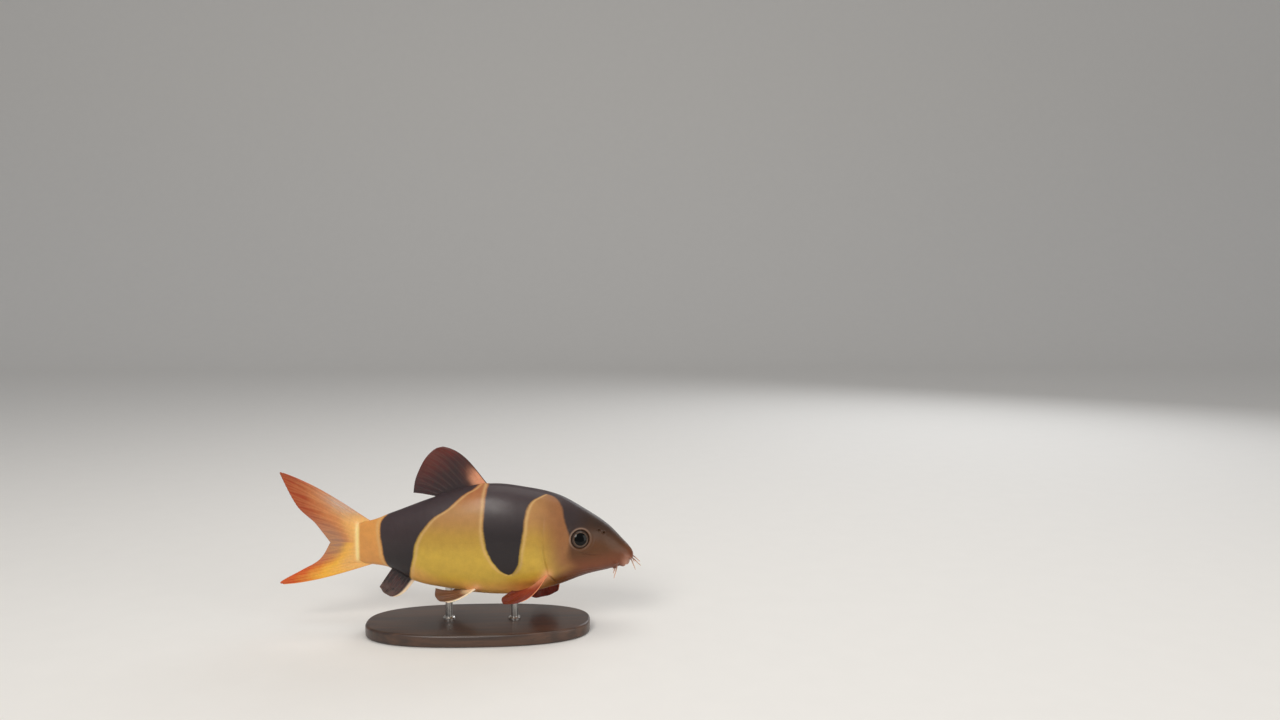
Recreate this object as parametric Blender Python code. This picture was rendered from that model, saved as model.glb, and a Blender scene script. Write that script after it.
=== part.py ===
"""A clown loach on a display stand, life-size, as one closed solid for each named part of the fish.

Sizes are in millimetres and are turned into metres where a mesh is made. A place on the fish is
written (s, lateral, z): s runs back from the snout tip, lateral is positive on the fish's left, and
z is the height above the body axis. place() bends that frame to the pose and sets it on the stand.
"""

import math

import bmesh
import bpy
from mathutils import Vector

MM = 0.001
GAP = 0.3

# Pose and place on the stand.
STANDARD_LENGTH = 138.5
FIN_TIP_LENGTH = 180.0
SNOUT_AHEAD = 78.0
AXIS_HEIGHT = 46.0
BEND_START = 52.0
TAIL_SWING = 14.0

# Body profile: (s, value) from the snout to the base of the tail fin.
TOP_LINE = ((0, -8.0), (2, -3.5), (6, 0.9), (13, 8.0), (24, 15.6), (37, 22.9), (52, 26.8), (73, 28.8),
            (98, 22.6), (121, 14.0), (131, 10.0), (138.5, 9.0))
BELLY_LINE = ((0, -8.0), (1.2, -10.0), (4.6, -12.6), (12, -14.6), (24, -17.3), (40, -22.9), (56, -26.3),
              (74, -26.4), (95, -23.6), (109, -20.8), (122, -14.2), (131, -12.7), (138.5, -12.2))
HALF_WIDTH = ((0, 0.0), (2, 3.3), (6, 5.3), (14, 8.1), (28, 11.2), (44, 13.2), (60, 13.7), (80, 12.5),
              (100, 10.0), (121, 6.0), (131, 3.8), (138.5, 1.7))
WIDEST_SHARE = ((0, 0.5), (24, 0.40), (60, 0.42), (138.5, 0.5))
BACK_POWER = 1.85
BELLY_POWER = 2.25
SLOPE_STEP = 0.02

# Where the body is parted.
GILL_LINE = 39.0
GILL_BULGE = 5.5
GILL_SLANT = 3.0
TAIL_CUT = 107.5
AROUND = 40
HEAD_AROUND = 56
HEAD_RINGS = 31
TRUNK_RINGS = 14
TAIL_RINGS = 8

# Head.
EYE_S = 26.6
EYE_Z = 2.7
EYE_RADIUS = 4.7
EYE_DEPTH = 3.4
EYE_SINK = 2.3
ORBIT_RIM = 0.45
ORBIT_RIM_WIDTH = 1.9
ORBIT_RIM_OUT = 1.0
FLANK_EDGE = (0.35, 0.8)
GILL_LIFT = 0.7
GILL_LIFT_LENGTH = 13.0
CHEEK_GROOVE = 0.8
CHEEK_GROOVE_WIDTH = 1.3
CHEEK_GROOVE_DROP = 3.6
CHEEK_GROOVE_SLOPE = 0.25
CHEEK_GROOVE_FRONT = (14.0, 18.0)
CHEEK_GROOVE_REAR = (26.0, 30.0)
HEAD_SPACING = 1.45
NOSTRIL_S = 16.0
NOSTRIL_Z = 5.6
NOSTRIL_RADIUS = 0.9
NOSTRIL_WALL = 0.3
NOSTRIL_HEIGHT = 0.5
NOSTRIL_DEPTH = 1.0
NOSTRIL_LEAN = Vector((-0.3, 0.0, 0.25))

# Mouth: two lips and the cleft between them are arcs seen from below, about one middle.
MOUTH_S = 6.0
MOUTH_TURN = 98
MOUTH_STEPS = 12
LIP_RADIUS = 1.1
UPPER_LIP = (3.5, 3.8, 0.15)
LOWER_LIP = (0.9, 2.2, 0.05)
CLEFT = (2.2, 3.0, 0.45)
CLEFT_RADIUS = 0.42

# Barbels: name, root s, root turn in degrees from the back's ridge, direction, length.
BARBELS = (
    ("rostral_inner", 1.1, 118, (-0.72, 0.16, -0.68), 6.5),
    ("rostral_outer", 2.2, 104, (-0.35, 0.42, -0.84), 7.5),
    ("maxillary", 8.6, 122, (0.28, 0.45, -0.85), 8.5),
    ("mandibular", 9.4, 158, (0.35, 0.18, -0.92), 3.4),
)
BARBEL_RADIUS = 0.5
BARBEL_TIP_RADIUS = 0.25
BARBEL_STEPS = 7
BARBEL_STRAIGHT = 0.6

# Thickness of the fins.
MEMBRANE_HALF = 0.27
ROOT_HALF = 0.3
ROOT_REACH = 0.3
RAY_RISE = 0.38
LEAD_RAY_RISE = 0.6
RAY_TAPER = 0.85
FIN_SEAT = 0.15

# Roots of the fins: stations on the ridge or keel, heights on the tail's end, or flank ends (s, z).
DORSAL_STATIONS = (73, 79.5, 86, 92.5, 98.5)
ANAL_STATIONS = (110, 113.5, 117, 121.5)
CAUDAL_UPPER_START = 132.5
CAUDAL_UPPER_HEIGHTS = (5.0, 1.5)
CAUDAL_LOWER_START = 131.5
CAUDAL_LOWER_HEIGHTS = (-9.0, -5.5)
CAUDAL_SEAM = -1.6
PECTORAL_ROOT = ((42.6, -14.0), (46.4, -18.8))
PELVIC_ROOT = ((77.4, -21.8), (80.6, -23.8))

# Free margins of the fins, from the tip of the leading ray to the tip of the last one.
MARGINS = {
    "dorsal_fin": ((95, 0.6, 47.4), (99.5, 0.4, 46.0), (104.5, 0, 40.6), (108.6, -0.4, 32.0),
                   (110, -0.6, 24.2)),
    "anal_fin": ((120.6, -0.5, -29.2), (123.4, -0.4, -28.8), (126.4, 0.2, -27.2), (128.4, 0.4, -24.4)),
    "caudal_fin_upper": ((178.5, 1.6, 32.4), (180.0, 1.8, 31.0), (171.0, 1.4, 15.4), (161.0, 0.8, 6.6),
                         (153.4, 0.4, -2.2)),
    "caudal_fin_lower": ((177.4, -2.6, -24.2), (178.6, -2.8, -22.8), (168.0, -1.6, -16.6),
                         (159.0, -0.6, -11.2), (153.4, 0.2, -2.6)),
    "pectoral_fin_right": ((54.0, -24.0, -23.8), (59.5, -24.6, -25.0), (63.5, -21.6, -25.2),
                           (64.0, -16.8, -23.9), (60.0, -12.5, -22.0)),
    "pectoral_fin_left": ((38.6, 19.0, -31.8), (42.6, 20.5, -34.4), (47.6, 19.5, -35.4), (51.6, 16.0, -34.4),
                          (53.6, 11.5, -30.8)),
    "pelvic_fin_right": ((88.4, -17.4, -25.9), (92.8, -16.6, -26.2), (96.6, -14.0, -24.6),
                         (97.4, -9.8, -21.6)),
    "pelvic_fin_left": ((92.0, 14.0, -33.0), (96.5, 12.8, -33.8), (100.0, 10.2, -32.4), (100.4, 7.4, -29.0)),
}

# How far the first and the last ray of each fin bow.
BOWS = {
    "dorsal_fin": ((-1.6, 0.0, 2.3), (0.2, 0.0, 0.2)),
    "anal_fin": ((-0.8, 0.0, -1.2), (0.3, 0.0, -0.4)),
    "caudal_fin_upper": ((-1.6, 0.3, 1.0), (0, 0, 0)),
    "caudal_fin_lower": ((-1.0, -0.3, -1.0), (0, 0, 0)),
    "pectoral_fin_right": ((-1.5, -1.5, -0.4), (0, -0.6, -1.0)),
    "pectoral_fin_left": ((-1.8, 1.5, 0.4), (0.6, 0.6, -0.8)),
    "pelvic_fin_right": ((-0.6, -1.0, -0.6), (0, -0.4, -0.6)),
    "pelvic_fin_left": ((-0.6, 1.0, -0.6), (0, 0.4, -0.6)),
}

# Stand.
BASE_LENGTH = 112.0
BASE_WIDTH = 50.0
BASE_THICKNESS = 6.0
BASE_BEVEL = 1.2
BASE_ROUNDNESS = 0.8
BASE_POINTS = 56
ROD_RADIUS = 1.8
ROD_SIDES = 20
ROD_STATIONS = (("stand_rod_front", 60.0), ("stand_rod_rear", 93.0))

COLOURS = {
    "amber_skin": ((0.66, 0.42, 0.12), 0.35, 0.0),
    "dark_fin": ((0.07, 0.045, 0.045), 0.4, 0.0),
    "orange_fin": ((0.85, 0.33, 0.05), 0.4, 0.0),
    "red_fin": ((0.62, 0.10, 0.04), 0.4, 0.0),
    "eye": ((0.02, 0.02, 0.02), 0.12, 0.0),
    "barbel": ((0.72, 0.45, 0.34), 0.4, 0.0),
    "stand_wood": ((0.06, 0.045, 0.035), 0.45, 0.0),
    "stand_metal": ((0.55, 0.54, 0.52), 0.3, 1.0),
}


def through(knots):
    """A smooth function of s through the knots. It runs over the root of s, which rounds the snout."""
    spots = [math.sqrt(k[0]) for k in knots]
    values = [k[1] for k in knots]
    last = len(knots) - 1
    slopes = []
    for i in range(last + 1):
        a, b = max(i - 1, 0), min(i + 1, last)
        slopes.append((values[b] - values[a]) / (spots[b] - spots[a]))

    def value(s):
        q = min(max(math.sqrt(max(s, 0.0)), spots[0]), spots[-1])
        i = next(k for k in range(last) if q <= spots[k + 1])
        h = spots[i + 1] - spots[i]
        t = (q - spots[i]) / h
        rise = (3 - 2 * t) * t * t
        bend = t * (1 - t)
        ends = slopes[i] * (1 - t) - slopes[i + 1] * t
        return values[i] * (1 - rise) + values[i + 1] * rise + h * bend * ends

    return value


top_at = through(TOP_LINE)
belly_at = through(BELLY_LINE)
half_width_at = through(HALF_WIDTH)
widest_share_at = through(WIDEST_SHARE)


def smooth(low, high, value):
    """0 below low, 1 above high, and a smooth rise between."""
    t = min(max((value - low) / (high - low), 0.0), 1.0)
    return t * t * (3 - 2 * t)


def place(spot):
    """World place, in metres, of a spot (s, lateral, z) on the posed fish."""
    s, lateral, z = spot
    share = max(s - BEND_START, 0.0) / (FIN_TIP_LENGTH - BEND_START)
    swing = TAIL_SWING * share * share
    slope = 2 * TAIL_SWING * share / (FIN_TIP_LENGTH - BEND_START)
    norm = math.hypot(1.0, slope)
    x = SNOUT_AHEAD - s + lateral * slope / norm
    y = swing + lateral / norm
    return Vector((x, y, z + AXIS_HEIGHT)) * MM


def middle_at(s):
    """Height of the widest point of the section at s."""
    return belly_at(s) + (top_at(s) - belly_at(s)) * widest_share_at(s)


def section(s, turn):
    """Spot on the plain body at s, turn radians from the back's ridge towards the fish's left."""
    middle = middle_at(s)
    up, across = math.cos(turn), math.sin(turn)
    power = BACK_POWER if up > 0 else BELLY_POWER
    reach = top_at(s) - middle if up > 0 else middle - belly_at(s)
    lateral = half_width_at(s) * math.copysign(abs(across) ** (2 / power), across)
    return Vector((s, lateral, middle + reach * math.copysign(abs(up) ** (2 / power), up)))


def outward(s, turn):
    """Unit normal of the plain body."""
    step = SLOPE_STEP
    along = section(s + step, turn) - section(max(s - step, 0.001), turn)
    across = section(s, turn + step) - section(s, turn - step)
    return along.cross(across).normalized()


def turn_at(s, z, side):
    """Turn at which the flank of the section at s has the height z."""
    low, high = 0.0, math.pi
    for _ in range(40):
        mid = (low + high) / 2
        low, high = (mid, high) if section(s, mid).z > z else (low, mid)
    return side * (low + high) / 2


def gill_line(turn):
    """How far back the head reaches: the gill cover bulges back and the throat is further forward."""
    return GILL_LINE + GILL_BULGE * math.sin(turn) ** 2 + GILL_SLANT * math.cos(turn)


def head_relief(s, turn):
    """How far the head's skin stands out: gill cover, rim of the orbit and the slit under the eye."""
    spot = section(s, turn)
    to_edge = gill_line(turn) - s
    flank = smooth(*FLANK_EDGE, abs(math.sin(turn)))
    cover = GILL_LIFT * flank * (1 - smooth(0.0, GILL_LIFT_LENGTH, to_edge))
    from_rim = math.hypot(s - EYE_S, spot.z - EYE_Z) - EYE_RADIUS - ORBIT_RIM_OUT
    rim = ORBIT_RIM * math.exp(-((from_rim / ORBIT_RIM_WIDTH) ** 2)) * flank
    slit_z = EYE_Z - EYE_RADIUS - CHEEK_GROOVE_DROP - CHEEK_GROOVE_SLOPE * (EYE_S - s)
    along_slit = smooth(*CHEEK_GROOVE_FRONT, s) * (1 - smooth(*CHEEK_GROOVE_REAR, s))
    slit = CHEEK_GROOVE * along_slit * math.exp(-(((spot.z - slit_z) / CHEEK_GROOVE_WIDTH) ** 2)) * flank
    return cover + rim - slit


def skin(s, turn, relief):
    """Spot on the skin: the plain body moved out by the relief function."""
    spot = section(s, turn)
    lift = relief(s, turn)
    return spot + outward(s, turn) * lift if lift else spot


def no_relief(s, turn):
    """The relief of the trunk and tail, whose skin is smooth."""
    return 0.0


def material(name):
    """The named material, made once."""
    made = bpy.data.materials.get(name)
    if made:
        return made
    colour, roughness, metallic = COLOURS[name]
    made = bpy.data.materials.new(name)
    made.use_nodes = True
    shader = made.node_tree.nodes["Principled BSDF"]
    shader.inputs["Base Color"].default_value = (*colour, 1.0)
    shader.inputs["Roughness"].default_value = roughness
    shader.inputs["Metallic"].default_value = metallic
    made.diffuse_color = (*colour, 1.0)
    return made


def solid(name, points, faces, material_name, sharp_degrees=50):
    """An object from world points and faces, shaded smooth but for its sharp edges."""
    mesh = bpy.data.meshes.new(name)
    mesh.from_pydata(points, [], faces)
    mesh.validate()
    mesh.shade_smooth()
    mesh.set_sharp_from_angle(angle=math.radians(sharp_degrees))
    made = bpy.data.objects.new(name, mesh)
    bpy.context.scene.collection.objects.link(made)
    made.data.materials.append(material(material_name))
    return made


def loft(name, rings, ends, material_name):
    """A closed solid from rings of equal count. Each end is one point that its ring fans into."""
    count = len(rings[0])
    points = [p for ring in rings for p in ring] + list(ends)
    first_end, last_end = len(points) - 2, len(points) - 1
    faces = []
    for r in range(len(rings) - 1):
        for k in range(count):
            a, b = r * count + k, r * count + (k + 1) % count
            faces.append((a, b, b + count, a + count))
    start = (len(rings) - 1) * count
    for k in range(count):
        n = (k + 1) % count
        faces.append((first_end, n, k))
        faces.append((last_end, start + k, start + n))
    return solid(name, points, faces, material_name)


def body_length(name, start, finish, rings, relief, around=AROUND, spacing=1.0):
    """One length of the body between two functions of the turn, which give where it starts and ends."""
    made = []
    first = 1 if relief is head_relief else 0
    for r in range(first, rings + 1):
        share = (r / rings) ** spacing
        ring = []
        for k in range(around):
            turn = math.tau * k / around
            s = start(turn) + (finish(turn) - start(turn)) * share
            ring.append(place(skin(s, turn, relief)))
        made.append(ring)
    ends = []
    for edge in (start, finish):
        s = (edge(0) + edge(math.pi / 2)) / 2
        ends.append(place((s, 0.0, middle_at(s))))
    return loft(name, made, ends, "amber_skin")


def tube(name, path, radii, sides, material_name):
    """A closed round tube along a path of spots, with a radius at each."""
    path = [Vector(p) for p in path]
    rings = []
    side = Vector((0.0, 1.0, 0.0))
    for i, spot in enumerate(path):
        ahead = (path[min(i + 1, len(path) - 1)] - path[max(i - 1, 0)]).normalized()
        if abs(ahead.dot(side)) > 0.98:
            side = Vector((0.0, 0.0, 1.0))
        side = (side - ahead * side.dot(ahead)).normalized()
        other = ahead.cross(side)
        angles = [math.tau * k / sides for k in range(sides)]
        ring = [spot + (side * math.cos(a) + other * math.sin(a)) * radii[i] for a in angles]
        rings.append([place(p) for p in ring])
    made = loft(name, rings, [place(path[0]), place(path[-1])], material_name)
    face_out(made)
    return made


def face_out(made):
    """Turns every face of a closed mesh outwards."""
    shape = bmesh.new()
    shape.from_mesh(made.data)
    bmesh.ops.recalc_face_normals(shape, faces=shape.faces)
    shape.to_mesh(made.data)
    shape.free()


def ellipsoid(name, centre, normal, radius, depth, material_name, segments=20, rings=12):
    """A round lens shape whose short axis lies along the normal."""
    shape = bmesh.new()
    bmesh.ops.create_uvsphere(shape, u_segments=segments, v_segments=rings, radius=1.0)
    turn = Vector((0, 0, 1)).rotation_difference(normal).to_matrix()
    for v in shape.verts:
        v.co = place(centre + turn @ Vector((v.co.x * radius, v.co.y * radius, v.co.z * depth)))
    points = [v.co.copy() for v in shape.verts]
    faces = [[v.index for v in f.verts] for f in shape.faces]
    shape.free()
    made = solid(name, points, faces, material_name)
    face_out(made)
    return made


def keep_largest(made):
    """Keeps only the largest closed surface of a mesh."""
    shape = bmesh.new()
    shape.from_mesh(made.data)
    shape.verts.ensure_lookup_table()
    unseen, shells = set(shape.verts), []
    while unseen:
        front = [unseen.pop()]
        shell = set(front)
        while front:
            for edge in front.pop().link_edges:
                for v in edge.verts:
                    if v in unseen:
                        unseen.discard(v)
                        shell.add(v)
                        front.append(v)
        shells.append(shell)
    largest = max(shells, key=len)
    bmesh.ops.delete(shape, geom=[v for v in shape.verts if v not in largest], context="VERTS")
    shape.to_mesh(made.data)
    shape.free()


def combine(made, pieces, operation):
    """Joins the pieces to a solid, or cuts them from it, in one Boolean, and removes them."""
    group = bpy.data.collections.new("pieces")
    bpy.context.scene.collection.children.link(group)
    for piece in pieces:
        bpy.context.scene.collection.objects.unlink(piece)
        group.objects.link(piece)
    step = made.modifiers.new("combine", "BOOLEAN")
    step.operation = operation
    step.operand_type = "COLLECTION"
    step.collection = group
    step.solver = "MANIFOLD"
    bpy.context.view_layer.objects.active = made
    with bpy.context.temp_override(object=made, active_object=made, selected_objects=[made]):
        bpy.ops.object.modifier_apply(modifier=step.name)
    for piece in pieces:
        bpy.data.objects.remove(piece)
    bpy.data.collections.remove(group)
    keep_largest(made)


def eye_seat(side):
    """Centre and outward normal of the eye on one side."""
    turn = turn_at(EYE_S, EYE_Z, side)
    normal = outward(EYE_S, turn)
    return section(EYE_S, turn) - normal * EYE_SINK, normal


def belly_height(s, lateral):
    """Height of the belly's underside at a spot seen from below."""
    middle, half = middle_at(s), half_width_at(s)
    share = 1 - min(abs(lateral) / half, 1.0) ** BELLY_POWER
    return middle - (middle - belly_at(s)) * share ** (1 / BELLY_POWER)


def mouth_arc(ahead, spread, out):
    """An arc round the front of the mouth, ahead of its middle by ahead and below the skin by out."""
    path = []
    for i in range(MOUTH_STEPS + 1):
        a = math.radians(MOUTH_TURN * (2 * i / MOUTH_STEPS - 1))
        s, lateral = MOUTH_S - ahead * math.cos(a), spread * math.sin(a)
        path.append(Vector((s, lateral, belly_height(s, lateral) - out)))
    return path


def nostril_pieces(side):
    """Rim and pit of one nostril."""
    turn = turn_at(NOSTRIL_S, NOSTRIL_Z, side)
    normal = outward(NOSTRIL_S, turn)
    root = section(NOSTRIL_S, turn)
    deep, lip = root - normal * NOSTRIL_DEPTH, root + normal * NOSTRIL_HEIGHT + NOSTRIL_LEAN
    foot = root.lerp(lip, 0.2)
    rim = tube("rim", [deep, foot, lip],
               [NOSTRIL_RADIUS + NOSTRIL_WALL * share for share in (3, 2, 1)], 12, "amber_skin")
    pit = tube("pit", [deep, lip + (lip - root)], [NOSTRIL_RADIUS * 0.6, NOSTRIL_RADIUS], 8, "amber_skin")
    return rim, pit


def build_head():
    """The head to the edge of the gill covers, with lips, mouth, nostrils and eye sockets."""
    head = body_length("head", lambda turn: 0.0, gill_line, HEAD_RINGS, head_relief, HEAD_AROUND,
                       HEAD_SPACING)
    shares = [i / MOUTH_STEPS for i in range(MOUTH_STEPS + 1)]
    radii = [LIP_RADIUS * (0.5 + 0.5 * math.sin(math.pi * share) ** 0.6) for share in shares]
    upper = tube("upper", mouth_arc(*UPPER_LIP), radii, 8, "amber_skin")
    lower = tube("lower", mouth_arc(*LOWER_LIP), radii, 8, "amber_skin")
    cleft = tube("cleft", mouth_arc(*CLEFT), [CLEFT_RADIUS] * len(shares), 6, "amber_skin")
    added, cut = [upper, lower], [cleft]
    for side in (-1, 1):
        rim, pit = nostril_pieces(side)
        added.append(rim)
        cut.append(pit)
        centre, normal = eye_seat(side)
        cut.append(ellipsoid("socket", centre, normal, EYE_RADIUS + GAP, EYE_DEPTH + GAP, "amber_skin"))
    combine(head, added, "UNION")
    combine(head, cut, "DIFFERENCE")
    return head


def build_body():
    """Trunk and tail, each a thin cut behind the last."""
    body_length("trunk", lambda turn: gill_line(turn) + GAP, lambda turn: TAIL_CUT, TRUNK_RINGS, no_relief)
    body_length("tail", lambda turn: TAIL_CUT + GAP, lambda turn: STANDARD_LENGTH, TAIL_RINGS, no_relief)


def build_eyes():
    """One lens-shaped eye in each socket."""
    for side, word in ((-1, "right"), (1, "left")):
        centre, normal = eye_seat(side)
        ellipsoid("eye_" + word, centre, normal, EYE_RADIUS, EYE_DEPTH, "eye")


def build_barbels():
    """Four pairs of tapered barbels, each square to the skin at its root and then bending to its lie."""
    for kind, s, degrees, way, length in BARBELS:
        for side, word in ((-1, "right"), (1, "left")):
            turn = side * math.radians(degrees)
            normal = outward(s, turn)
            spot = section(s, turn) + normal * GAP
            aim = Vector((way[0], way[1] * side, way[2])).normalized()
            path, radii = [spot], [BARBEL_RADIUS]
            for i in range(1, BARBEL_STEPS + 1):
                share = i / BARBEL_STEPS
                ahead = normal.lerp(aim, smooth(0.0, BARBEL_STRAIGHT, share)).normalized()
                path.append(path[-1] + ahead * length / BARBEL_STEPS)
                radii.append(BARBEL_RADIUS + (BARBEL_TIP_RADIUS - BARBEL_RADIUS) * share)
            tube(f"barbel_{kind}_{word}", path, radii, 8, "barbel")


def clear_of_body(spot):
    """The spot itself, or the spot moved straight out of its section until it clears the skin."""
    s, lateral, z = spot
    if s > STANDARD_LENGTH:
        return spot
    above = z - middle_at(s)
    power = BACK_POWER if above > 0 else BELLY_POWER
    reach = top_at(s) - middle_at(s) if above > 0 else middle_at(s) - belly_at(s)
    fill = (abs(lateral) / half_width_at(s)) ** power + (abs(above) / reach) ** power
    distance = math.hypot(lateral, above)
    gap = GAP + FIN_SEAT + (GILL_LIFT if s < GILL_LINE + GILL_BULGE + GAP else 0.0)
    needed = distance * fill ** (-1 / power) + gap
    if distance >= needed:
        return spot
    return Vector((s, lateral * needed / distance, middle_at(s) + above * needed / distance))


def along(points, share):
    """Place at a share of the way along a smooth curve through the points, which are evenly shared."""
    last = len(points) - 1
    i = min(int(share * last), last - 1)
    t = share * last - i
    p0, p1, p2, p3 = (Vector(points[min(max(k, 0), last)]) for k in (i - 1, i, i + 1, i + 2))
    if last == 1:
        return p1.lerp(p2, t)
    square, cube = t * t, t * t * t
    return 0.5 * (2 * p1 + (p2 - p0) * t + (2 * p0 - 5 * p1 + 4 * p2 - p3) * square
                  + (3 * p1 - p0 - 3 * p2 + p3) * cube)


def build_fin(name, root, rays, rows, material_name):
    """A fin from its root line and its own margin and bows, with so many rays of so many rows."""
    margin, bows = MARGINS[name], BOWS[name]
    columns = 2 * rays - 1

    def spot(u, v):
        low, high = along(root, v), along(margin, v)
        bow = Vector(bows[0]).lerp(Vector(bows[1]), v)
        return low.lerp(high, u) + bow * 4 * u * (1 - u) * (0.5 + u)

    def half(u, column):
        """Half the thickness: a membrane that swells at the root, with a ray on each even column."""
        flesh = MEMBRANE_HALF + ROOT_HALF * (1 - smooth(0.0, ROOT_REACH, u))
        if column % 2:
            return flesh
        rise = LEAD_RAY_RISE if column == 0 else RAY_RISE
        return flesh + rise * (1 - RAY_TAPER * u)

    count = rows + 1
    points = []
    for face in (1, -1):
        for c in range(columns):
            v = c / (columns - 1)
            for r in range(count):
                u = r / rows
                step = 0.01
                up = spot(u + step, v) - spot(u - step, v)
                across = spot(u, min(v + step, 1.0)) - spot(u, max(v - step, 0.0))
                normal = up.cross(across).normalized()
                points.append(place(clear_of_body(spot(u, v) + normal * face * half(u, c))))
    back = columns * count
    faces = []
    for c in range(columns - 1):
        for r in range(rows):
            a = c * count + r
            b, d, e = a + count, a + 1, a + count + 1
            faces += [(a, b, e), (a, e, d), (a + back, e + back, b + back), (a + back, d + back, e + back)]
    rim = [c * count for c in range(columns)]
    rim += [(columns - 1) * count + r for r in range(1, count)]
    rim += [c * count + rows for c in range(columns - 2, -1, -1)]
    rim += [r for r in range(rows - 1, 0, -1)]
    for i, a in enumerate(rim):
        b = rim[(i + 1) % len(rim)]
        faces += [(a, a + back, b + back), (a, b + back, b)]
    made = solid(name, points, faces, material_name)
    face_out(made)
    return made


def ridge_root(stations, line, away):
    """Root line just off the back's ridge or the belly's keel."""
    return [Vector((s, 0.0, line(s) + away)) for s in stations]


def build_median_fins():
    """Dorsal and anal fin."""
    build_fin("dorsal_fin", ridge_root(DORSAL_STATIONS, top_at, GAP), 11, 8, "dark_fin")
    build_fin("anal_fin", ridge_root(ANAL_STATIONS, belly_at, -GAP), 8, 6, "dark_fin")


def build_tail_fin():
    """The two lobes of the tail fin, which meet at a seam behind the end of the body."""
    end = STANDARD_LENGTH + GAP
    lobes = (
        ("caudal_fin_upper", CAUDAL_UPPER_START, top_at, GAP, CAUDAL_UPPER_HEIGHTS),
        ("caudal_fin_lower", CAUDAL_LOWER_START, belly_at, -GAP, CAUDAL_LOWER_HEIGHTS),
    )
    for name, start, line, away, heights in lobes:
        root = ridge_root((start,), line, away) + [Vector((end, 0.0, line(STANDARD_LENGTH) + away))]
        root += [Vector((end, 0.0, z)) for z in (*heights, CAUDAL_SEAM + away / 2)]
        build_fin(name, root, 10, 8, "orange_fin")


def flank_root(ends, side, steps=4):
    """Root line of a paired fin: spots just off the skin between two ends given as (s, z)."""
    (s0, z0), (s1, z1) = ends
    made = []
    for i in range(steps + 1):
        share = i / steps
        s, z = s0 + (s1 - s0) * share, z0 + (z1 - z0) * share
        turn = turn_at(s, z, side)
        made.append(section(s, turn) + outward(s, turn) * (GAP + FIN_SEAT))
    return made


def build_paired_fins():
    """Pectoral and pelvic fins. The right ones are spread, and the left ones hang lower."""
    for side, word in ((-1, "right"), (1, "left")):
        build_fin("pectoral_fin_" + word, flank_root(PECTORAL_ROOT, side), 13, 7, "red_fin")
        build_fin("pelvic_fin_" + word, flank_root(PELVIC_ROOT, side), 8, 7, "orange_fin")


def build_stand():
    """A flat oval base and two short rods that end just under the belly."""
    upper_edge = BASE_THICKNESS - BASE_BEVEL
    steps = ((BASE_BEVEL, 0.0), (0.0, BASE_BEVEL), (0.0, upper_edge), (BASE_BEVEL, BASE_THICKNESS))
    rings = []
    for inset, z in steps:
        ring = []
        for k in range(BASE_POINTS):
            a = math.tau * k / BASE_POINTS
            across = math.copysign(abs(math.cos(a)) ** BASE_ROUNDNESS, math.cos(a))
            over = math.copysign(abs(math.sin(a)) ** BASE_ROUNDNESS, math.sin(a))
            ring.append(Vector(((BASE_LENGTH / 2 - inset) * across, (BASE_WIDTH / 2 - inset) * over, z)) * MM)
        rings.append(ring)
    loft("stand_base", rings, [Vector((0, 0, 0)), Vector((0, 0, BASE_THICKNESS * MM))], "stand_wood")
    for name, s in ROD_STATIONS:
        foot = place((s, 0.0, 0.0))
        low, high = [], []
        for k in range(ROD_SIDES):
            a = math.tau * k / ROD_SIDES
            ds, lateral = ROD_RADIUS * math.cos(a), ROD_RADIUS * math.sin(a)
            spot = place((s + ds, lateral, belly_height(s + ds, lateral) - GAP))
            high.append(spot)
            low.append(Vector((spot.x, spot.y, (BASE_THICKNESS + GAP) * MM)))
        ends = [Vector((foot.x, foot.y, (BASE_THICKNESS + GAP) * MM)), place((s, 0, belly_at(s) - GAP))]
        face_out(loft(name, [low, high], ends, "stand_metal"))


def main():
    """Clears the scene and builds every node."""
    for found in list(bpy.data.objects):
        bpy.data.objects.remove(found)
    build_head()
    build_body()
    build_eyes()
    build_barbels()
    build_median_fins()
    build_tail_fin()
    build_paired_fins()
    build_stand()


main()
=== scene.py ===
"""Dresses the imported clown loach: one continuous skin, rayed fins, eyes, barbels and a finished stand.

Sizes are in millimetres and are turned into metres where a mesh is made. A place on the fish is
written (s, lateral, z): s runs back from the snout tip, lateral is positive on the fish's left, and
z is the height above the body axis.
"""

from __future__ import annotations

import logging
import math
from collections.abc import Callable
from dataclasses import dataclass, field
from enum import Enum

import bpy
import numpy as np
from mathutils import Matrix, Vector

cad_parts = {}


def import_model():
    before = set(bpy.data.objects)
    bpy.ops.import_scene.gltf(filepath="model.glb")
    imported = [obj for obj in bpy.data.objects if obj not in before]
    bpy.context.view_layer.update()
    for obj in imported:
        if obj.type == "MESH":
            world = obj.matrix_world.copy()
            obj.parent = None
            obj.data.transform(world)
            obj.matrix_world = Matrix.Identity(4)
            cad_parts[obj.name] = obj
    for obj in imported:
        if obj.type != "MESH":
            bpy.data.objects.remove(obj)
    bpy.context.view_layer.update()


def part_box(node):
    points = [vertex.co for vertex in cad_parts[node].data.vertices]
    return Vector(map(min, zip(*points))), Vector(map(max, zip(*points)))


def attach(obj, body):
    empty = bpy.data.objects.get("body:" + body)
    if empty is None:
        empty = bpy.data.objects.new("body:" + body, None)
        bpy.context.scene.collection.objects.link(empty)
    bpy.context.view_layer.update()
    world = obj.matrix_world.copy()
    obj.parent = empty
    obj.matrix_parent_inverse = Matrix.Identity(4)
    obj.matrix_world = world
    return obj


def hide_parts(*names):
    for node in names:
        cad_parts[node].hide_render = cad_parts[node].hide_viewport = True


MM = 0.001
PER_METRE = 1 / MM
AXIS_ABOVE_BASE = 40.0
# Stands in for the distance to a small form where that form can't be
FAR = 99.0
# A share of a grid's length that only its first row lies below
TINY = 1e-5
LOG = logging.getLogger("clown_loach")

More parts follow.
